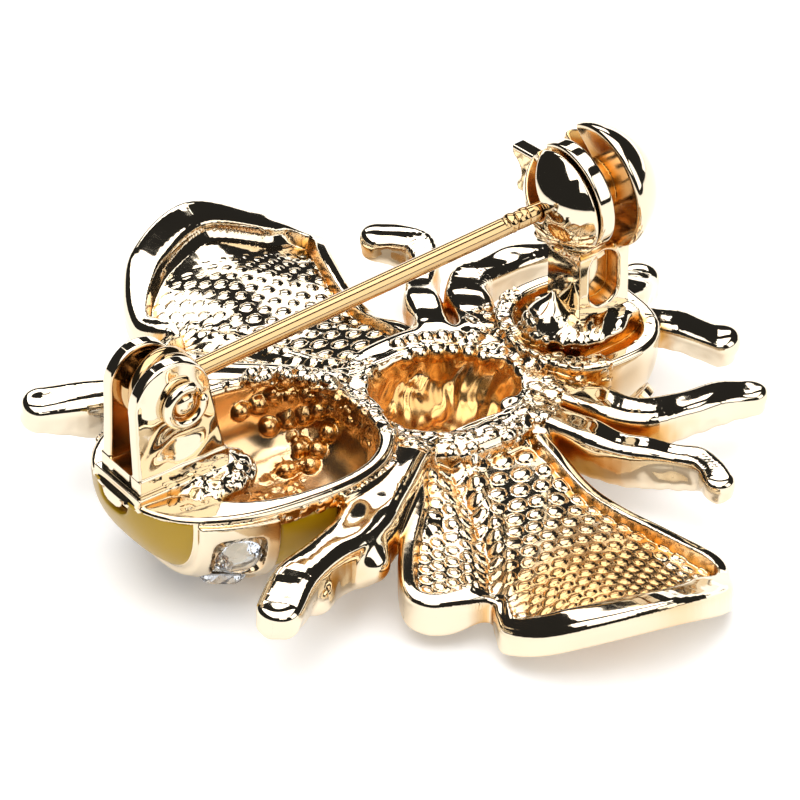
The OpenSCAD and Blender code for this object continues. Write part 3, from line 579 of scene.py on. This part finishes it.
# How rough the casting was left in each zone, from 0 to 1, and the granules that stand there
grainy = {"pitch": 0.72, "r": 0.38, "lift": 0.5, "farRim": 0.8, "strip": 0.6, "thorax": 0.8,
    # share, half width, middle y, half length, lowest and highest z: neck, hinge pad, catch pad
    "boxes": ((0.8, 4.2, 5.9, 1.6, -0.6, 1.5), (0.5, 3.2, -14.6, 2.6, 1.7, 3.6),
        (0.15, 3.2, 8.4, 3.2, 0.6, 2.8))}


def grained(p):
    x, y, z = p.T
    wall = dome(p, bee["abdomen"])
    under = rimZ(bee["abdomen"], y) - z
    rough = smooth(-dome(p, bee["abdomenHollow"]), -0.3, -0.1) * (under > 0.5)
    rough *= smooth(x + 0.5 * (y + 9), -2.4, -1.2) * smooth(-(y + 0.73 * x + 8.2), -0.4, 0.4)
    farRim = (wall < 0.2) & (x < 1.2 - 0.4 * (y + 9)) & (under < 0.5) & (y > -9.6)
    strip = (np.abs(wall) < 0.2) & (under > 0.25) & (under < 0.95) & (x > 1) & (y > -13.2)
    ring = (dome(p, bee["thorax"]) < 0.4) & (z > 0)
    ring = ring * smooth(np.hypot(x - thoraxMid[0], y - thoraxMid[1]), 3.6, 4.0)
    ring = ring * (1 - smooth(-x - 0.3 * y, 0.8, 1.8) * (y > -1.5))
    for share, zone in ((grainy["farRim"], farRim), (grainy["strip"], strip), (grainy["thorax"], ring)):
        rough = np.maximum(rough, share * zone)
    for share, wide, mid, long, low, high in grainy["boxes"]:
        zone = (np.abs(x) < wide) & (np.abs(y - mid) < long) & (z > low) & (z < high)
        rough = np.maximum(rough, share * zone)
    return rough


# Painted shade and reflection: the plating is coloured deeper orange gold in the two hollows and over the outer
# field of the near wing
paintedShadeShares = {"thorax": 0.85, "abdomen": 0.75, "nearWing": 0.75}


def paintedShadeZones(p):
    x, y, z = p.T
    r = np.hypot(x - thoraxMid[0], y - thoraxMid[1])
    inThorax = (z < 0.75) * (z > -3.4) * (1 - smooth(r, 3.3, 3.9)) * (dome(p, bee["thorax"]) < -0.3)
    inAbdomen = smooth(-dome(p, bee["abdomenHollow"]), -0.2, 0.1) * (z < 2.1) * (y < -4.4)
    onField = onWing("field", np.abs(x), y) * (x > 6) * (z > -1.6) * smooth(x, 9.0, 13.5)
    return np.maximum(np.maximum(paintedShadeShares["thorax"] * inThorax, paintedShadeShares["abdomen"] * inAbdomen),
        paintedShadeShares["nearWing"] * onField)


def castingField(p):
    # the casting with small granules standing on its rough zones
    d, amount = casting(p), grained(p)
    rough = amount > 0.02
    if rough.any():
        q = p[rough]
        away = scatter(q, grainy["pitch"], 3.0)
        lift = np.sqrt(np.maximum(grainy["r"] ** 2 - away ** 2, 0)) * grainy["lift"]
        d[rough] -= lift * amount[rough] * smooth(wavy(q, 4.2, 0.6), -0.9, -0.2)
    return d


def inChunks(form, p, size=400000):
    return np.concatenate([form(p[i:i + size]) for i in range(0, len(p), size)]) if len(p) else np.zeros(0)


def sculpt(form, low, high, cell, reach=0.75, block=4):
    # vertices, quads and normals of the surface where form is 0, as a surface net
    low = np.array(low, float)
    blocks = np.ceil((np.array(high) - low) / (cell * block)).astype(int)
    centres = [low[i] + (np.arange(blocks[i]) + 0.5) * block * cell for i in range(3)]
    grid = np.stack(np.meshgrid(*centres, indexing="ij"), -1).reshape(-1, 3)
    coarse = inChunks(form, grid).reshape(blocks)
    # near the surface every point is sampled, elsewhere only the block's sign is used
    field = coarse.astype(np.float32)
    for axis in range(3):
        field = np.repeat(field, block, axis)
    local = np.array(list(np.ndindex(block, block, block)))
    index = (np.argwhere(np.abs(coarse) < reach)[:, None] * block + local).reshape(-1, 3)
    field[tuple(index.T)] = inChunks(form, low + index * cell)
    inside = field < 0
    cubes = [slice(None, -1), slice(1, None)]
    count = sum(inside[cubes[i], cubes[j], cubes[k]].astype(np.uint8) for i, j, k in np.ndindex(2, 2, 2))
    cells = np.argwhere((count > 0) & (count < 8))
    number = np.full(count.shape, -1, np.int32)
    number[tuple(cells.T)] = np.arange(len(cells))
    corner = {step: field[tuple((cells + step).T)] for step in np.ndindex(2, 2, 2)}
    # each cell's vertex is the mean of the places where its edges cross the surface
    total, weight = np.zeros((len(cells), 3)), np.zeros(len(cells))
    for axis in range(3):
        for step in np.ndindex(2, 2):
            a, b = step[:axis] + (0,) + step[axis:], step[:axis] + (1,) + step[axis:]
            cross = (corner[a] < 0) != (corner[b] < 0)
            at = np.tile(np.array(a, float), (len(cells), 1))
            at[:, axis] = np.where(cross, corner[a] / np.where(cross, corner[a] - corner[b], 1), 0)
            total += at * cross[:, None]
            weight += cross
    points = low + (cells + total / weight[:, None]) * cell
    quads = []
    for axis in range(3):
        first, second = (inside.take(np.arange(k, inside.shape[axis] - 1 + k), axis) for k in (0, 1))
        edges = np.argwhere(first != second)
        others = [k for k in range(3) if k != axis]
        edges = edges[(edges[:, others] > 0).all(1)
            & (edges[:, others] < np.array(number.shape)[others]).all(1)]
        around = []
        for i, j in ((0, 0), (1, 0), (1, 1), (0, 1)):
            e = edges.copy()
            e[:, others] -= (i, j)
            around.append(number[tuple(e.T)])
        q = np.stack(around, -1)
        leaving = first[tuple(edges.T)]
        flip = leaving if axis == 1 else ~leaving
        q[flip] = q[flip][:, ::-1]
        quads.append(q)
    quads = np.vstack(quads)
    quads = quads[(quads >= 0).all(1)]

    def slope(h):
        d = inChunks(form, points)
        return d, np.stack([inChunks(form, points + h * np.eye(3)[k]) - d for k in range(3)], -1) / h

    # one step along the slope brings each vertex onto the surface
    d, g = slope(0.25 * cell)
    move = -(d / np.maximum((g * g).sum(1), 0.2))[:, None] * g
    far = np.linalg.norm(move, axis=1, keepdims=True)
    points = points + move * np.minimum(1, 0.7 * cell / np.maximum(far, 1e-9))
    g = slope(0.4 * cell)[1]
    return points, quads, g / np.maximum(np.linalg.norm(g, axis=1, keepdims=True), 1e-9)


def cavity(form, points, normals):
    # how closed in a point is: 0 on open faces, towards 1 deep in a hollow, where shade and reflection colour
    # is painted and the metal dulled
    total = np.zeros(len(points))
    for away in (0.45, 1.1, 2.2):
        total += 1 - np.clip(inChunks(form, points + away * normals) / away, 0, 1)
    return smooth(total / 3, 0.08, 0.75)


def meshOf(name, points, faces, material, normals=None, marks=None):
    mesh = bpy.data.meshes.new(name)
    row = (np.asarray(points) + thoraxAt) * millimetre
    mesh.vertices.add(len(row))
    mesh.vertices.foreach_set("co", row.ravel())
    mesh.loops.add(faces.size)
    mesh.loops.foreach_set("vertex_index", faces.ravel().astype(np.int32))
    mesh.polygons.add(len(faces))
    mesh.polygons.foreach_set("loop_start", np.arange(0, faces.size, 4, dtype=np.int32))
    mesh.update(calc_edges=True)
    for mark, values in (marks or {}).items():
        mesh.attributes.new(mark, "FLOAT", "POINT").data.foreach_set("value", np.asarray(values, np.float32))
    mesh.shade_smooth()
    if normals is not None:
        mesh.normals_split_custom_set_from_vertices(normals.tolist())
    mesh.materials.append(material)
    mesh.update()
    return mesh


def linked(name, mesh):
    obj = bpy.data.objects.new(name, mesh)
    bpy.context.scene.collection.objects.link(obj)
    return obj


def outwards(work, mesh):
    # writes a bmesh back with its faces turned outwards
    bmesh.ops.recalc_face_normals(work, faces=work.faces[:])
    work.to_mesh(mesh)
    work.free()


def finishPiece(name, mesh, body, slotName, *nodes):
    obj = linked(name, mesh)
    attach(obj, body)
    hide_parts(*nodes)
    print(name, len(mesh.polygons), "faces")


# The casting is meshed in seven boxes that overlap a little inside the metal
castBoxes = {"cell": 0.105, "wingCell": 0.075, "quickCell": 0.16, "quickWingCell": 0.11,
    "low": (-21.0, -19.9, -4.6), "high": (21.0, 16.7, 4.5), "wingHigh": 3.4, "chestHigh": 4.3, "side": 5.9,
    "wing": 10.6, "rear": -10.2, "neck": 4.7}


def castCasting():
    cell, wingCell = (castBoxes[d]
        for c, d in (("Cell", "cell"), ("WingCell", "wingCell")))
    side, wing, rear, neck = (castBoxes[k] for k in ("side", "wing", "rear", "neck"))
    (west, tail, floor), (east, head, roof) = castBoxes["low"], castBoxes["high"]
    over = 2 * cell + 0.04
    boxes = {"castNearSide": (side, wing), "castNearWing": (wing, None), "castFarSide": (-wing, -side),
        "castFarWing": (None, -wing)}
    boxes = {name: ((west if a is None else a - over, tail, floor),
        (east if b is None else b + over, head, castBoxes["wingHigh"]), wingCell)
        for name, (a, b) in boxes.items()}
    for name, a, b, top in (("castAbdomen", tail, rear + over, roof),
            ("castChest", rear - over, neck + over, castBoxes["chestHigh"]),
            ("castHead", neck - over, head, roof)):
        boxes[name] = ((-side - over, a, floor), (side + over, b, top), cell)
    for name, (low, high, size) in boxes.items():
        first, last = np.array(low) + 2 * size, np.array(high) - 2 * size

        def boxed(p):
            return np.maximum(castingField(p), np.maximum((first - p).max(1), (p - last).max(1)))

        points, quads, normals = sculpt(boxed, low, high, size)
        # the hollow mark holds painted shade and reflection colour, from how closed a point is and raised in
        # the two hollows and on the near wing's outer field
        marks = {"grain": grained(points), "cavity": np.maximum(cavity(casting, points, normals),
            paintedShadeZones(points))}
        mesh = meshOf(name, points, quads, castPlating, normals, marks)
        finishPiece(name, mesh, "brooch", "plated_casting", "body_casting")


castCasting()


def pourEnamel(name, low, high, drop, rows, columns, node):
    # a shell panel that stands clear of its recess, slightly crowned as poured enamel is
    shell = bee["abdomen"]
    start = math.degrees(math.asin((drop / shell[3]) ** (bee["sectionPower"] / 2)))
    t = np.linspace(low, high, rows)[:, None]
    a = np.linspace(start, 180 - start, columns)[None]
    edge = (np.minimum(np.minimum(t - low, high - t) / 1.5,
        1) * np.minimum(np.minimum(a - start, 180 - start - a) / 2.0, 1))
    top = shellPoint(shell, t, a, -0.05 + 0.05 * edge ** 0.5)
    bottom = shellPoint(shell, t + 0 * a, a, -enamel["depth"])
    points = np.concatenate([top.reshape(-1, 3), bottom.reshape(-1, 3)])
    n = rows * columns
    grid = np.arange(n).reshape(rows, columns)
    faces = [np.stack([grid[:-1, :-1], grid[:-1, 1:], grid[1:, 1:], grid[1:, :-1]], -1).reshape(-1, 4)]
    faces.append(faces[0][:, ::-1] + n)
    for line in (grid[0], grid[:, -1], grid[-1, ::-1], grid[::-1, 0]):
        faces.append(np.stack([line[:-1], line[:-1] + n, line[1:] + n, line[1:]], -1))
    mesh = meshOf(name, points, np.vstack(faces), enamelMaterial)
    work = bmesh.new()
    work.from_mesh(mesh)
    outwards(work, mesh)
    finishPiece(name, mesh, "brooch", "yellow_enamel", node)


tailBand, waistBand = ([abdomenTurn(bands[y] + s * bands["width"] / 2) for s in (-1, 1)]
    for y in ("tailY", "waistY"))
short = enamel["short"]
pourEnamel("enamelTailPoured", enamel["tailTurn"] + short, tailBand[0] - short, bands["drop"], 50, 120,
    "enamel_tail")
pourEnamel("enamelMiddlePoured", tailBand[1] + short, waistBand[0] - short, enamel["middleDrop"], 30, 120,
    "enamel_middle")


def newTree(name, inputs):
    # an empty Geometry Nodes tree with named inputs
    tree = bpy.data.node_groups.new(name, "GeometryNodeTree")
    for label, kind in {"Geometry": "Geometry", **inputs}.items():
        tree.interface.new_socket(label, in_out="INPUT", socket_type="NodeSocket" + kind)
    tree.interface.new_socket("Geometry", in_out="OUTPUT", socket_type="NodeSocketGeometry")
    return tree, addNode(tree, "NodeGroupInput").outputs


def endTree(tree, geometry, material):
    real = addNode(tree, "GeometryNodeRealizeInstances", links={"Geometry": geometry})
    coated = addNode(tree, "GeometryNodeSetMaterial", inputs={"Material": material},
        links={"Geometry": real.outputs["Geometry"]})
    addNode(tree, "NodeGroupOutput", links={"Geometry": coated.outputs["Geometry"]})


def runTree(tree, name, points, edges, mark, kind, values, settings):
    # runs a tree on points that carry one attribute, and hands back a plain mesh
    mesh = bpy.data.meshes.new(name + "Points")
    mesh.from_pydata([tuple((q + thoraxAt) * millimetre) for q in points], edges, [])
    layer = mesh.attributes.new(mark, kind, "POINT")
    layer.data.foreach_set("value" if kind == "FLOAT" else "vector", np.array(values, np.float32).ravel())
    holder = linked(name + "Points", mesh)
    modifier = holder.modifiers.new(name, "NODES")
    modifier.node_group = tree
    for item in tree.interface.items_tree:
        if item.item_type == "SOCKET" and item.in_out == "INPUT" and item.name in settings:
            modifier[item.identifier] = settings[item.name]
    bpy.context.view_layer.update()
    done = bpy.data.meshes.new_from_object(holder.evaluated_get(bpy.context.evaluated_depsgraph_get()))
    holder.modifiers.remove(modifier)
    bpy.data.objects.remove(holder)
    done.name = name
    return done


stoneCut = {"table": 0.56, "crown": 0.32, "star": 0.78, "starHigh": 0.62, "girdle": 0.06, "pavilion": 0.45}


def brilliant(name):
    # round brilliant of unit radius: table, eight stars and kites, paired girdle facets, pavilion
    work = bmesh.new()

    def ring(r, z, count, turn=0.0):
        turns = [2 * math.pi * (k + turn) / count for k in range(count)]
        return [work.verts.new((r * math.cos(a), r * math.sin(a), z)) for a in turns]

    crown = stoneCut["crown"]
    table = ring(stoneCut["table"], crown, 8)
    star = ring(stoneCut["star"], crown * stoneCut["starHigh"], 8, 0.5)
    top = ring(1.0, 0.0, 16)
    low = ring(1.0, -stoneCut["girdle"], 16)
    under = ring(stoneCut["pavilion"], -stoneCut["pavilion"], 8, 0.5)
    culet = work.verts.new((0, 0, crown - 1.0))
    facets = [table]
    for k in range(8):
        m, a, b, c = (k + 1) % 8, 2 * k, 2 * k + 1, (2 * k + 2) % 16
        facets += [(table[k], star[k], table[m]), (table[k], top[a], star[k]), (table[k], star[k - 1], top[a]),
            (star[k], top[a], top[b]), (star[k], top[b], top[c]), (low[a], under[k], low[b]),
            (low[b], under[k], low[c]), (low[a], under[k - 1], under[k]), (under[k - 1], culet, under[k])]
    facets += [(top[k], low[k], low[(k + 1) % 16], top[(k + 1) % 16]) for k in range(16)]
    for facet in facets:
        work.faces.new(facet)
    mesh = bpy.data.meshes.new(name)
    outwards(work, mesh)
    return linked(name, mesh)


def setStones(name, frames, diameter, height, material, slotName, *nodes):
    # one stone on each point, turned by the point's own rotation
    tree, given = newTree("stoneSetting", {"Stone": "Object", "Radius": "Float", "Height": "Float"})
    stone = addNode(tree, "GeometryNodeObjectInfo", links={"Object": given["Stone"]})
    turned = addNode(tree, "GeometryNodeInputNamedAttribute", {"data_type": "FLOAT_VECTOR"}, {"Name": "turned"})
    size = addNode(tree, "ShaderNodeCombineXYZ",
        links={"X": given["Radius"], "Y": given["Radius"], "Z": given["Height"]})
    placed = addNode(tree, "GeometryNodeInstanceOnPoints",
        links={"Points": given["Geometry"], "Instance": stone.outputs["Geometry"],
        "Rotation": turned.outputs["Attribute"], "Scale": size.outputs["Vector"]})
    endTree(tree, placed.outputs["Instances"], material)
    cut = brilliant(name + "Cut")
    done = runTree(tree, name, [c for c, *_ in frames], [], "turned", "FLOAT_VECTOR",
        [Matrix((u, v, n)).transposed().to_euler() for c, n, u, v in frames],
        {"Stone": cut, "Radius": diameter / 2 * millimetre, "Height": height * millimetre})
    bpy.data.objects.remove(cut)
    finishPiece(name, done, "brooch", slotName, *nodes)


setStones("bandStones", stoneSeats, bands["stoneD"], bands["stoneH"], clearGlass, "clear_stone",
    *[f"{band}_stone_{i}" for band in ("tail", "waist") for i in range(1, 6)])
setStones("eyeStones", eyeSeats, eyes["stoneD"], eyes["stoneH"], greyGlass, "grey_stone", "eye_stone_near",
    "eye_stone_far")


hinge = {"back": 16.2, "high": 7.75, "tilt": 2.75, "gap": 1.8, "sheet": 0.7, "nearR": 2.1, "farR": 1.8,
    "bore": 1.26, "footY": -16.1, "footL": 5.0, "footW": 3.2, "padTop": 3.3, "lean": (-0.45, 0.2),
    "pillow": 0.1, "dent": 0.38, "dentAt": (-0.1, -2.1), "dentSize": (1.1, 0.8), "rivetD": 1.2,
    "rivetHalf": 1.75, "washer": (1.73, 0.95, 0.09), "head": (-1.8, 1.08, 0.17), "knob": (0.34, 0.6, 0.6),
    "curlX": 1.99, "curlR": 0.98, "curlWire": 0.27, "curlFrom": 70, "curlTurn": 290}
catch = {"ballD": 6.3, "drop": 0.2, "rearCheek": 0.28, "coreR": 1.35, "ringD": 5.6, "ringT": 0.85,
    "grooveY": -1.4, "grooveW": 2.1, "way": 0.535, "slotTurn": 50.0, "slotEnd": 2.1, "tabTurn": 8.0,
    "tabReach": 4.4, "tabW": 2.5, "notch": 0.75, "saddle": ((0, -1.35, -2.75), (1.05, 1.55, 0.75)),
    "postAt": (0, 9.0, 4.065), "post": (1.3, 1.5, 1.965), "recessR": 0.85, "recessZ": 4.3}
pin = {"d": 0.95, "pointD": 0.25, "span": 25.1, "past": 1.6, "shankEnd": 21.6, "coilR": 1.52, "coilWire": 0.42,
    "turns": 1.8, "coilSide": 0.43, "coilRows": 110, "ease": 1.9, "crumpled": (19.9, 21.3)}
pivot = np.array([0.0, -hinge["back"], hinge["high"]])
tilt = math.radians(hinge["tilt"])
pinRun = np.array([0.0, math.cos(tilt), math.sin(tilt)])
pinUp = np.array([0.0, -math.sin(tilt), math.cos(tilt)])


def toCatch(p):
    q = p - pivot - pin["span"] * pinRun
    return q[:, 0], q @ pinRun, q @ pinUp


def bracket(p):
    x, y, z = (p - pivot).T
    foot = hinge["high"] - hinge["padTop"]
    footY = hinge["footY"] + hinge["back"]
    sheet, half, (dy, dz) = hinge["sheet"], hinge["footL"] / 2, hinge["lean"]
    (dentY, dentZ), (dentL, dentH) = hinge["dentAt"], hinge["dentSize"]
    # each ear is pillowed, and dented at its foot
    pillow = hinge["pillow"] * (1 - np.clip((y * y + z * z) / 9, 0, 1))
    dent = hinge["dent"] * np.exp(-((y - dentY) / dentL) ** 2 - ((z - dentZ) / dentH) ** 2)
    pillow = pillow - dent - 0.04 * wavy(p, 3.3, 0.4)
    share = np.clip((dz - z) / foot, 0, 1)
    out = np.full(len(p), 5.0)
    for side, r in ((1, hinge["nearR"]), (-1, hinge["farR"])):
        away = x - side * (hinge["gap"] + sheet) / 2
        slab = np.abs(away) - sheet / 2 - pillow * (side * away > 0)
        disc = np.hypot(y - dy, z - dz) - r
        web = np.abs(y - dy - (footY - dy) * share) - r - (half - r) * share
        web = np.maximum(web * 0.97, np.maximum(z - dz, -foot - z))
        ear = meet(join(disc, web, 0.05), slab, 0.16)
        out = np.minimum(out, meet(ear, hinge["bore"] / 2 - np.hypot(y, z), 0.05))
    base = block(x, y, z, (0, footY, sheet / 2 - foot), (hinge["footW"] / 2, half, sheet / 2))
    return join(out, base, 0.25)


def rivet(p):
    x, y, z = (p - pivot).T
    r = np.hypot(y, z)
    shaft = np.maximum(r - hinge["rivetD"] / 2, np.abs(x) - hinge["rivetHalf"])
    washer, head = (meet(r - wide, np.abs(x - at) - half, k)
        for (at, wide, half), k in ((hinge["washer"], 0.08), (hinge["head"], 0.2)))
    knob = blob(x, y, z, (1.8, 0, 0), hinge["knob"], 2.2)
    # the curl is a ring of wire with a gap in it
    angle = (np.degrees(np.arctan2(z, y)) - hinge["curlFrom"]) % 360
    gap = np.radians(np.minimum(np.maximum(angle - hinge["curlTurn"], 0), 360 - angle))
    curl = np.sqrt((r - hinge["curlR"]) ** 2 + (x - hinge["curlX"]) ** 2 + gap ** 2) - hinge["curlWire"]
    return join(join(np.minimum(shaft, head), np.minimum(washer, knob), 0.06), curl, 0.06)


def turned(x, z, degrees):
    turn = math.radians(degrees)
    return x * math.cos(turn) + z * math.sin(turn), -x * math.sin(turn) + z * math.cos(turn)


def slotSides(x, z):
    # the slot that the sprung pin slips into opens up and to the far side
    across, rise = turned(x, z, catch["slotTurn"])
    return np.where(rise > 0, np.abs(across), np.hypot(x, z)) - catch["way"]


def housing(p):
    x, y, z = toCatch(p)
    ball = (np.sqrt(x * x + y * y + (z + catch["drop"]) ** 2) - catch["ballD"] / 2 - catch["rearCheek"]
        * smooth(y, 0.2, 1.2))
    radius = np.hypot(x, z)
    half = catch["grooveW"] / 2
    groove = np.maximum(np.abs(y - catch["grooveY"] - half) - half, catch["coreR"] - radius)
    ball = meet(meet(ball, -groove, 0.22), -np.maximum(slotSides(x, z), y - catch["slotEnd"]), 0.16)
    saddle = block(x, y, z, *catch["saddle"])
    saddle = meet(saddle, (-y - z * 0.9 - 4.6) * 0.74, 0.3) + 0.06 * wavy(p, 2.2, 1.4)
    saddle = meet(saddle, -np.maximum(np.abs(y + 0.35) - 1.1, radius - 2.95), 0.1)
    (px, py, pz), at, (halfX, halfY, halfZ) = p.T, catch["postAt"], catch["post"]
    post = meet(np.maximum(np.abs(px) - halfX, np.abs(py - at[1]) - halfY), np.abs(pz - at[2]) - halfZ, 0.3)
    # a long dimple in the post's near face
    recess = np.hypot(py - at[1], np.maximum(np.abs(pz - catch["recessZ"]) - 0.7, 0)) - catch["recessR"]
    post = meet(post, -np.maximum(recess, 0.4 - px), 0.18)
    return join(join(ball, saddle, 0.2), post, 0.15)


def lock(p):
    x, y, z = toCatch(p)
    radius = np.hypot(x, z)
    half = catch["ringT"] / 2
    slab = np.abs(y - catch["grooveY"] - 0.15 - half) - half
    disc = meet(radius - catch["ringD"] / 2, slab, 0.18)
    u, w = turned(x, z, catch["tabTurn"])
    tab = np.maximum(np.abs(w) - catch["tabW"] / 2, np.maximum(-catch["tabReach"] - u, u))
    dip = np.hypot(u + catch["tabReach"] + 0.25, w) - catch["notch"]    # finger notch between two horns
    tab = meet(meet(meet(tab, -dip, 0.15), slab, 0.18), u, 0.1)
    whole = meet(join(disc, tab, 0.2), catch["coreR"] + 0.05 - radius, 0.12)
    return meet(whole, -slotSides(x, z), 0.12)


def sculptFinding(name, form, low, high, cell, node, body="brooch"):
    points, quads, normals = sculpt(form, low, high, cell, reach=0.9)
    # the hollow mark sets painted shade and reflection colour, and duller metal, in the finding's hollows
    mesh = meshOf(name, points, quads, findingPlating, normals, {"cavity": cavity(form, points, normals)})
    finishPiece(name, mesh, body, "plated_finding", node)


fineCell, curlCell = 0.06, 0.05
sculptFinding("hingeEars", bracket, pivot + (-2.0, -2.9, -4.9), pivot + (2.0, 3.0, 2.5), fineCell,
    "hinge_bracket")
sculptFinding("rivetCurl", rivet, pivot + (-2.2, -1.7, -1.7), pivot + (2.6, 1.7, 1.7), curlCell, "hinge_rivet")
sculptFinding("catchBall", housing, (-3.4, 5.2, 1.8), (3.4, 12.2, 12.4), fineCell, "catch_housing")
sculptFinding("catchLock", lock, (-5.2, 6.8, 5.5), (3.1, 9.2, 12.2), fineCell, "catch_ring", "catch_lock")


def pinRoute():
    # nearly two turns on the rivet, then straight along the pin's axis to a long point
    r, wire, side, thick = (pin[k] for k in ("coilR", "coilWire", "coilSide", "d"))
    points, shares = [], []
    for f in np.arange(pin["coilRows"] + 1) / pin["coilRows"]:
        a = 2 * math.pi * pin["turns"] * (f - 1) + math.pi / 2
        x = -side + 2 * side * smooth(f, 0.25, 0.75)
        points.append(pivot + (x, 0, 0) + r * (math.cos(a) * pinRun + math.sin(a) * pinUp))
        shares.append(wire)
    # the wire leaves the coil over its top and eases down to the axis
    for f in np.linspace(0.12, 1, 12):
        points.append(pivot + (side * (1 - f), 0, 0) + pin["ease"] * f * pinRun + r * (1 - smooth(f, 0, 1))
            * pinUp)
        shares.append(wire + (thick / 2 - wire) * f)
    # just before the catch a stretch is flattened and crumpled
    low, high = pin["crumpled"]
    end = pin["span"] + pin["past"]
    for along in np.concatenate([np.linspace(2.2, 19.6, 60), np.linspace(19.7, 21.6, 40),
            np.linspace(21.7, end, 24)]):
        taper = min(max(0.0, (along - pin["shankEnd"]) / (end - pin["shankEnd"])), 1)
        shake = (0.05 * math.sin(along * 9.0) + 0.04 * math.sin(along * 15.7 + 1)) * (low < along < high)
        points.append(pivot + along * pinRun + 0.4 * shake * pinUp)
        shares.append((thick + (pin["pointD"] - thick) * taper) / 2 * (1 + shake))
    return points, shares


def drawPin():
    # a round section swept along the route, scaled by each point's share
    tree, given = newTree("drawnWire", {"Radius": "Float", "Sides": "Int"})
    route = addNode(tree, "GeometryNodeMeshToCurve", links={"Mesh": given["Geometry"]})
    share = addNode(tree, "GeometryNodeInputNamedAttribute", {"data_type": "FLOAT"}, {"Name": "share"})
    section = addNode(tree, "GeometryNodeCurvePrimitiveCircle", {"mode": "RADIUS"},
        links={"Resolution": given["Sides"], "Radius": given["Radius"]})
    swept = addNode(tree, "GeometryNodeCurveToMesh", inputs={"Fill Caps": True},
        links={"Curve": route.outputs["Curve"], "Profile Curve": section.outputs["Curve"],
        "Scale": share.outputs["Attribute"]})
    endTree(tree, swept.outputs["Mesh"], wirePlating)
    points, shares = pinRoute()
    done = runTree(tree, "pinWire", points, [(i, i + 1) for i in range(len(points) - 1)], "share", "FLOAT",
        shares, {"Radius": millimetre, "Sides": 40})
    done.shade_smooth()
    finishPiece("pinWire", done, "pin", "gold_wire", "pin_stem")


drawPin()

camera = {"azimuth": 54.0, "elevation": 36.0, "distanceMm": 300.0, "pixelsPerMm": 20.5, "shiftPx": 40.0,
    "sensorMm": 36.0, "frame": 800}
studio = {"floor": "FFFFFF", "floorHalf": 3.0, "glow": 0.2, "world": 0.025,
    # soft boxes: azimuth, elevation, distance, width and height in metres, power in watts
    "lights": {"overheadBox": (324, 86, 0.9, 1.12, 1.12, 11.5), "cameraBox": (54, 48, 1.1, 0.6, 0.6, 2.4),
        "rightBox": (122, 30, 1.0, 0.62, 0.8, 3.2), "farBox": (240, 36, 1.1, 0.7, 0.28, 2.0),
        "backSheet": (222, 2, 1.2, 2.6, 0.22, 3.6)}}


def standAt(obj, azimuth, elevation, distance, target=(0, 0, 0)):
    # puts a camera or light where the two angles say, looking at the target
    a, e = math.radians(azimuth), math.radians(elevation)
    away = Vector((math.sin(a) * math.cos(e), -math.cos(a) * math.cos(e), math.sin(e)))
    obj.location = Vector(target) + away * distance
    obj.rotation_euler = away.to_track_quat("Z", "Y").to_euler()


def placeCamera():
    a = math.radians(camera["azimuth"])
    data = bpy.data.cameras.new("camera")
    data.sensor_width = camera["sensorMm"]
    data.lens = camera["sensorMm"] * camera["distanceMm"] * camera["pixelsPerMm"] / camera["frame"]
    data.clip_start, data.clip_end = 0.01, 20.0
    target = thoraxAt - np.array([math.cos(a), math.sin(a), 0.0]) * camera["shiftPx"] / camera["pixelsPerMm"]
    obj = linked("camera", data)
    standAt(obj, camera["azimuth"], camera["elevation"], camera["distanceMm"] * millimetre, target * millimetre)
    bpy.context.scene.camera = obj


def layFloor():
    # matt white studio paper that glows a little, so that it stays pale in the shadow
    mesh = bpy.data.meshes.new("floor")
    h = studio["floorHalf"]
    mesh.from_pydata([(-h, -h, 0), (h, -h, 0), (h, h, 0), (-h, h, 0)], [], [(0, 1, 2, 3)])
    material, tree, _ = newMaterial("whiteStudioPaper")
    white = fromHex(studio["floor"])
    shader = addNode(tree, "ShaderNodeBsdfPrincipled",
        inputs={"Base Color": white, "Roughness": 0.9, "Specular IOR Level": 0.0, "Emission Color": white,
        "Emission Strength": studio["glow"]})
    addNode(tree, "ShaderNodeOutputMaterial", links={"Surface": shader.outputs["BSDF"]})
    mesh.materials.append(material)
    linked("floor", mesh)


def lightStudio():
    for name, (azimuth, elevation, distance, width, height, power) in studio["lights"].items():
        data = bpy.data.lights.new(name, "AREA")
        data.shape = "RECTANGLE"
        data.size, data.size_y, data.energy = width, height, power
        standAt(linked(name, data), azimuth, elevation, distance)
    world = bpy.data.worlds.new("studio")
    bpy.context.scene.world = world
    world.use_nodes = True
    tree = world.node_tree
    tree.nodes.clear()
    sky = addNode(tree, "ShaderNodeBackground",
        inputs={"Color": fromHex("FFFFFF"), "Strength": studio["world"]})
    addNode(tree, "ShaderNodeOutputWorld", links={"Surface": sky.outputs["Background"]})
    bpy.context.scene.view_settings.view_transform = "Standard"
    bpy.context.scene.view_settings.look = "None"


placeCamera()
layFloor()
lightStudio()
print("studio lit")
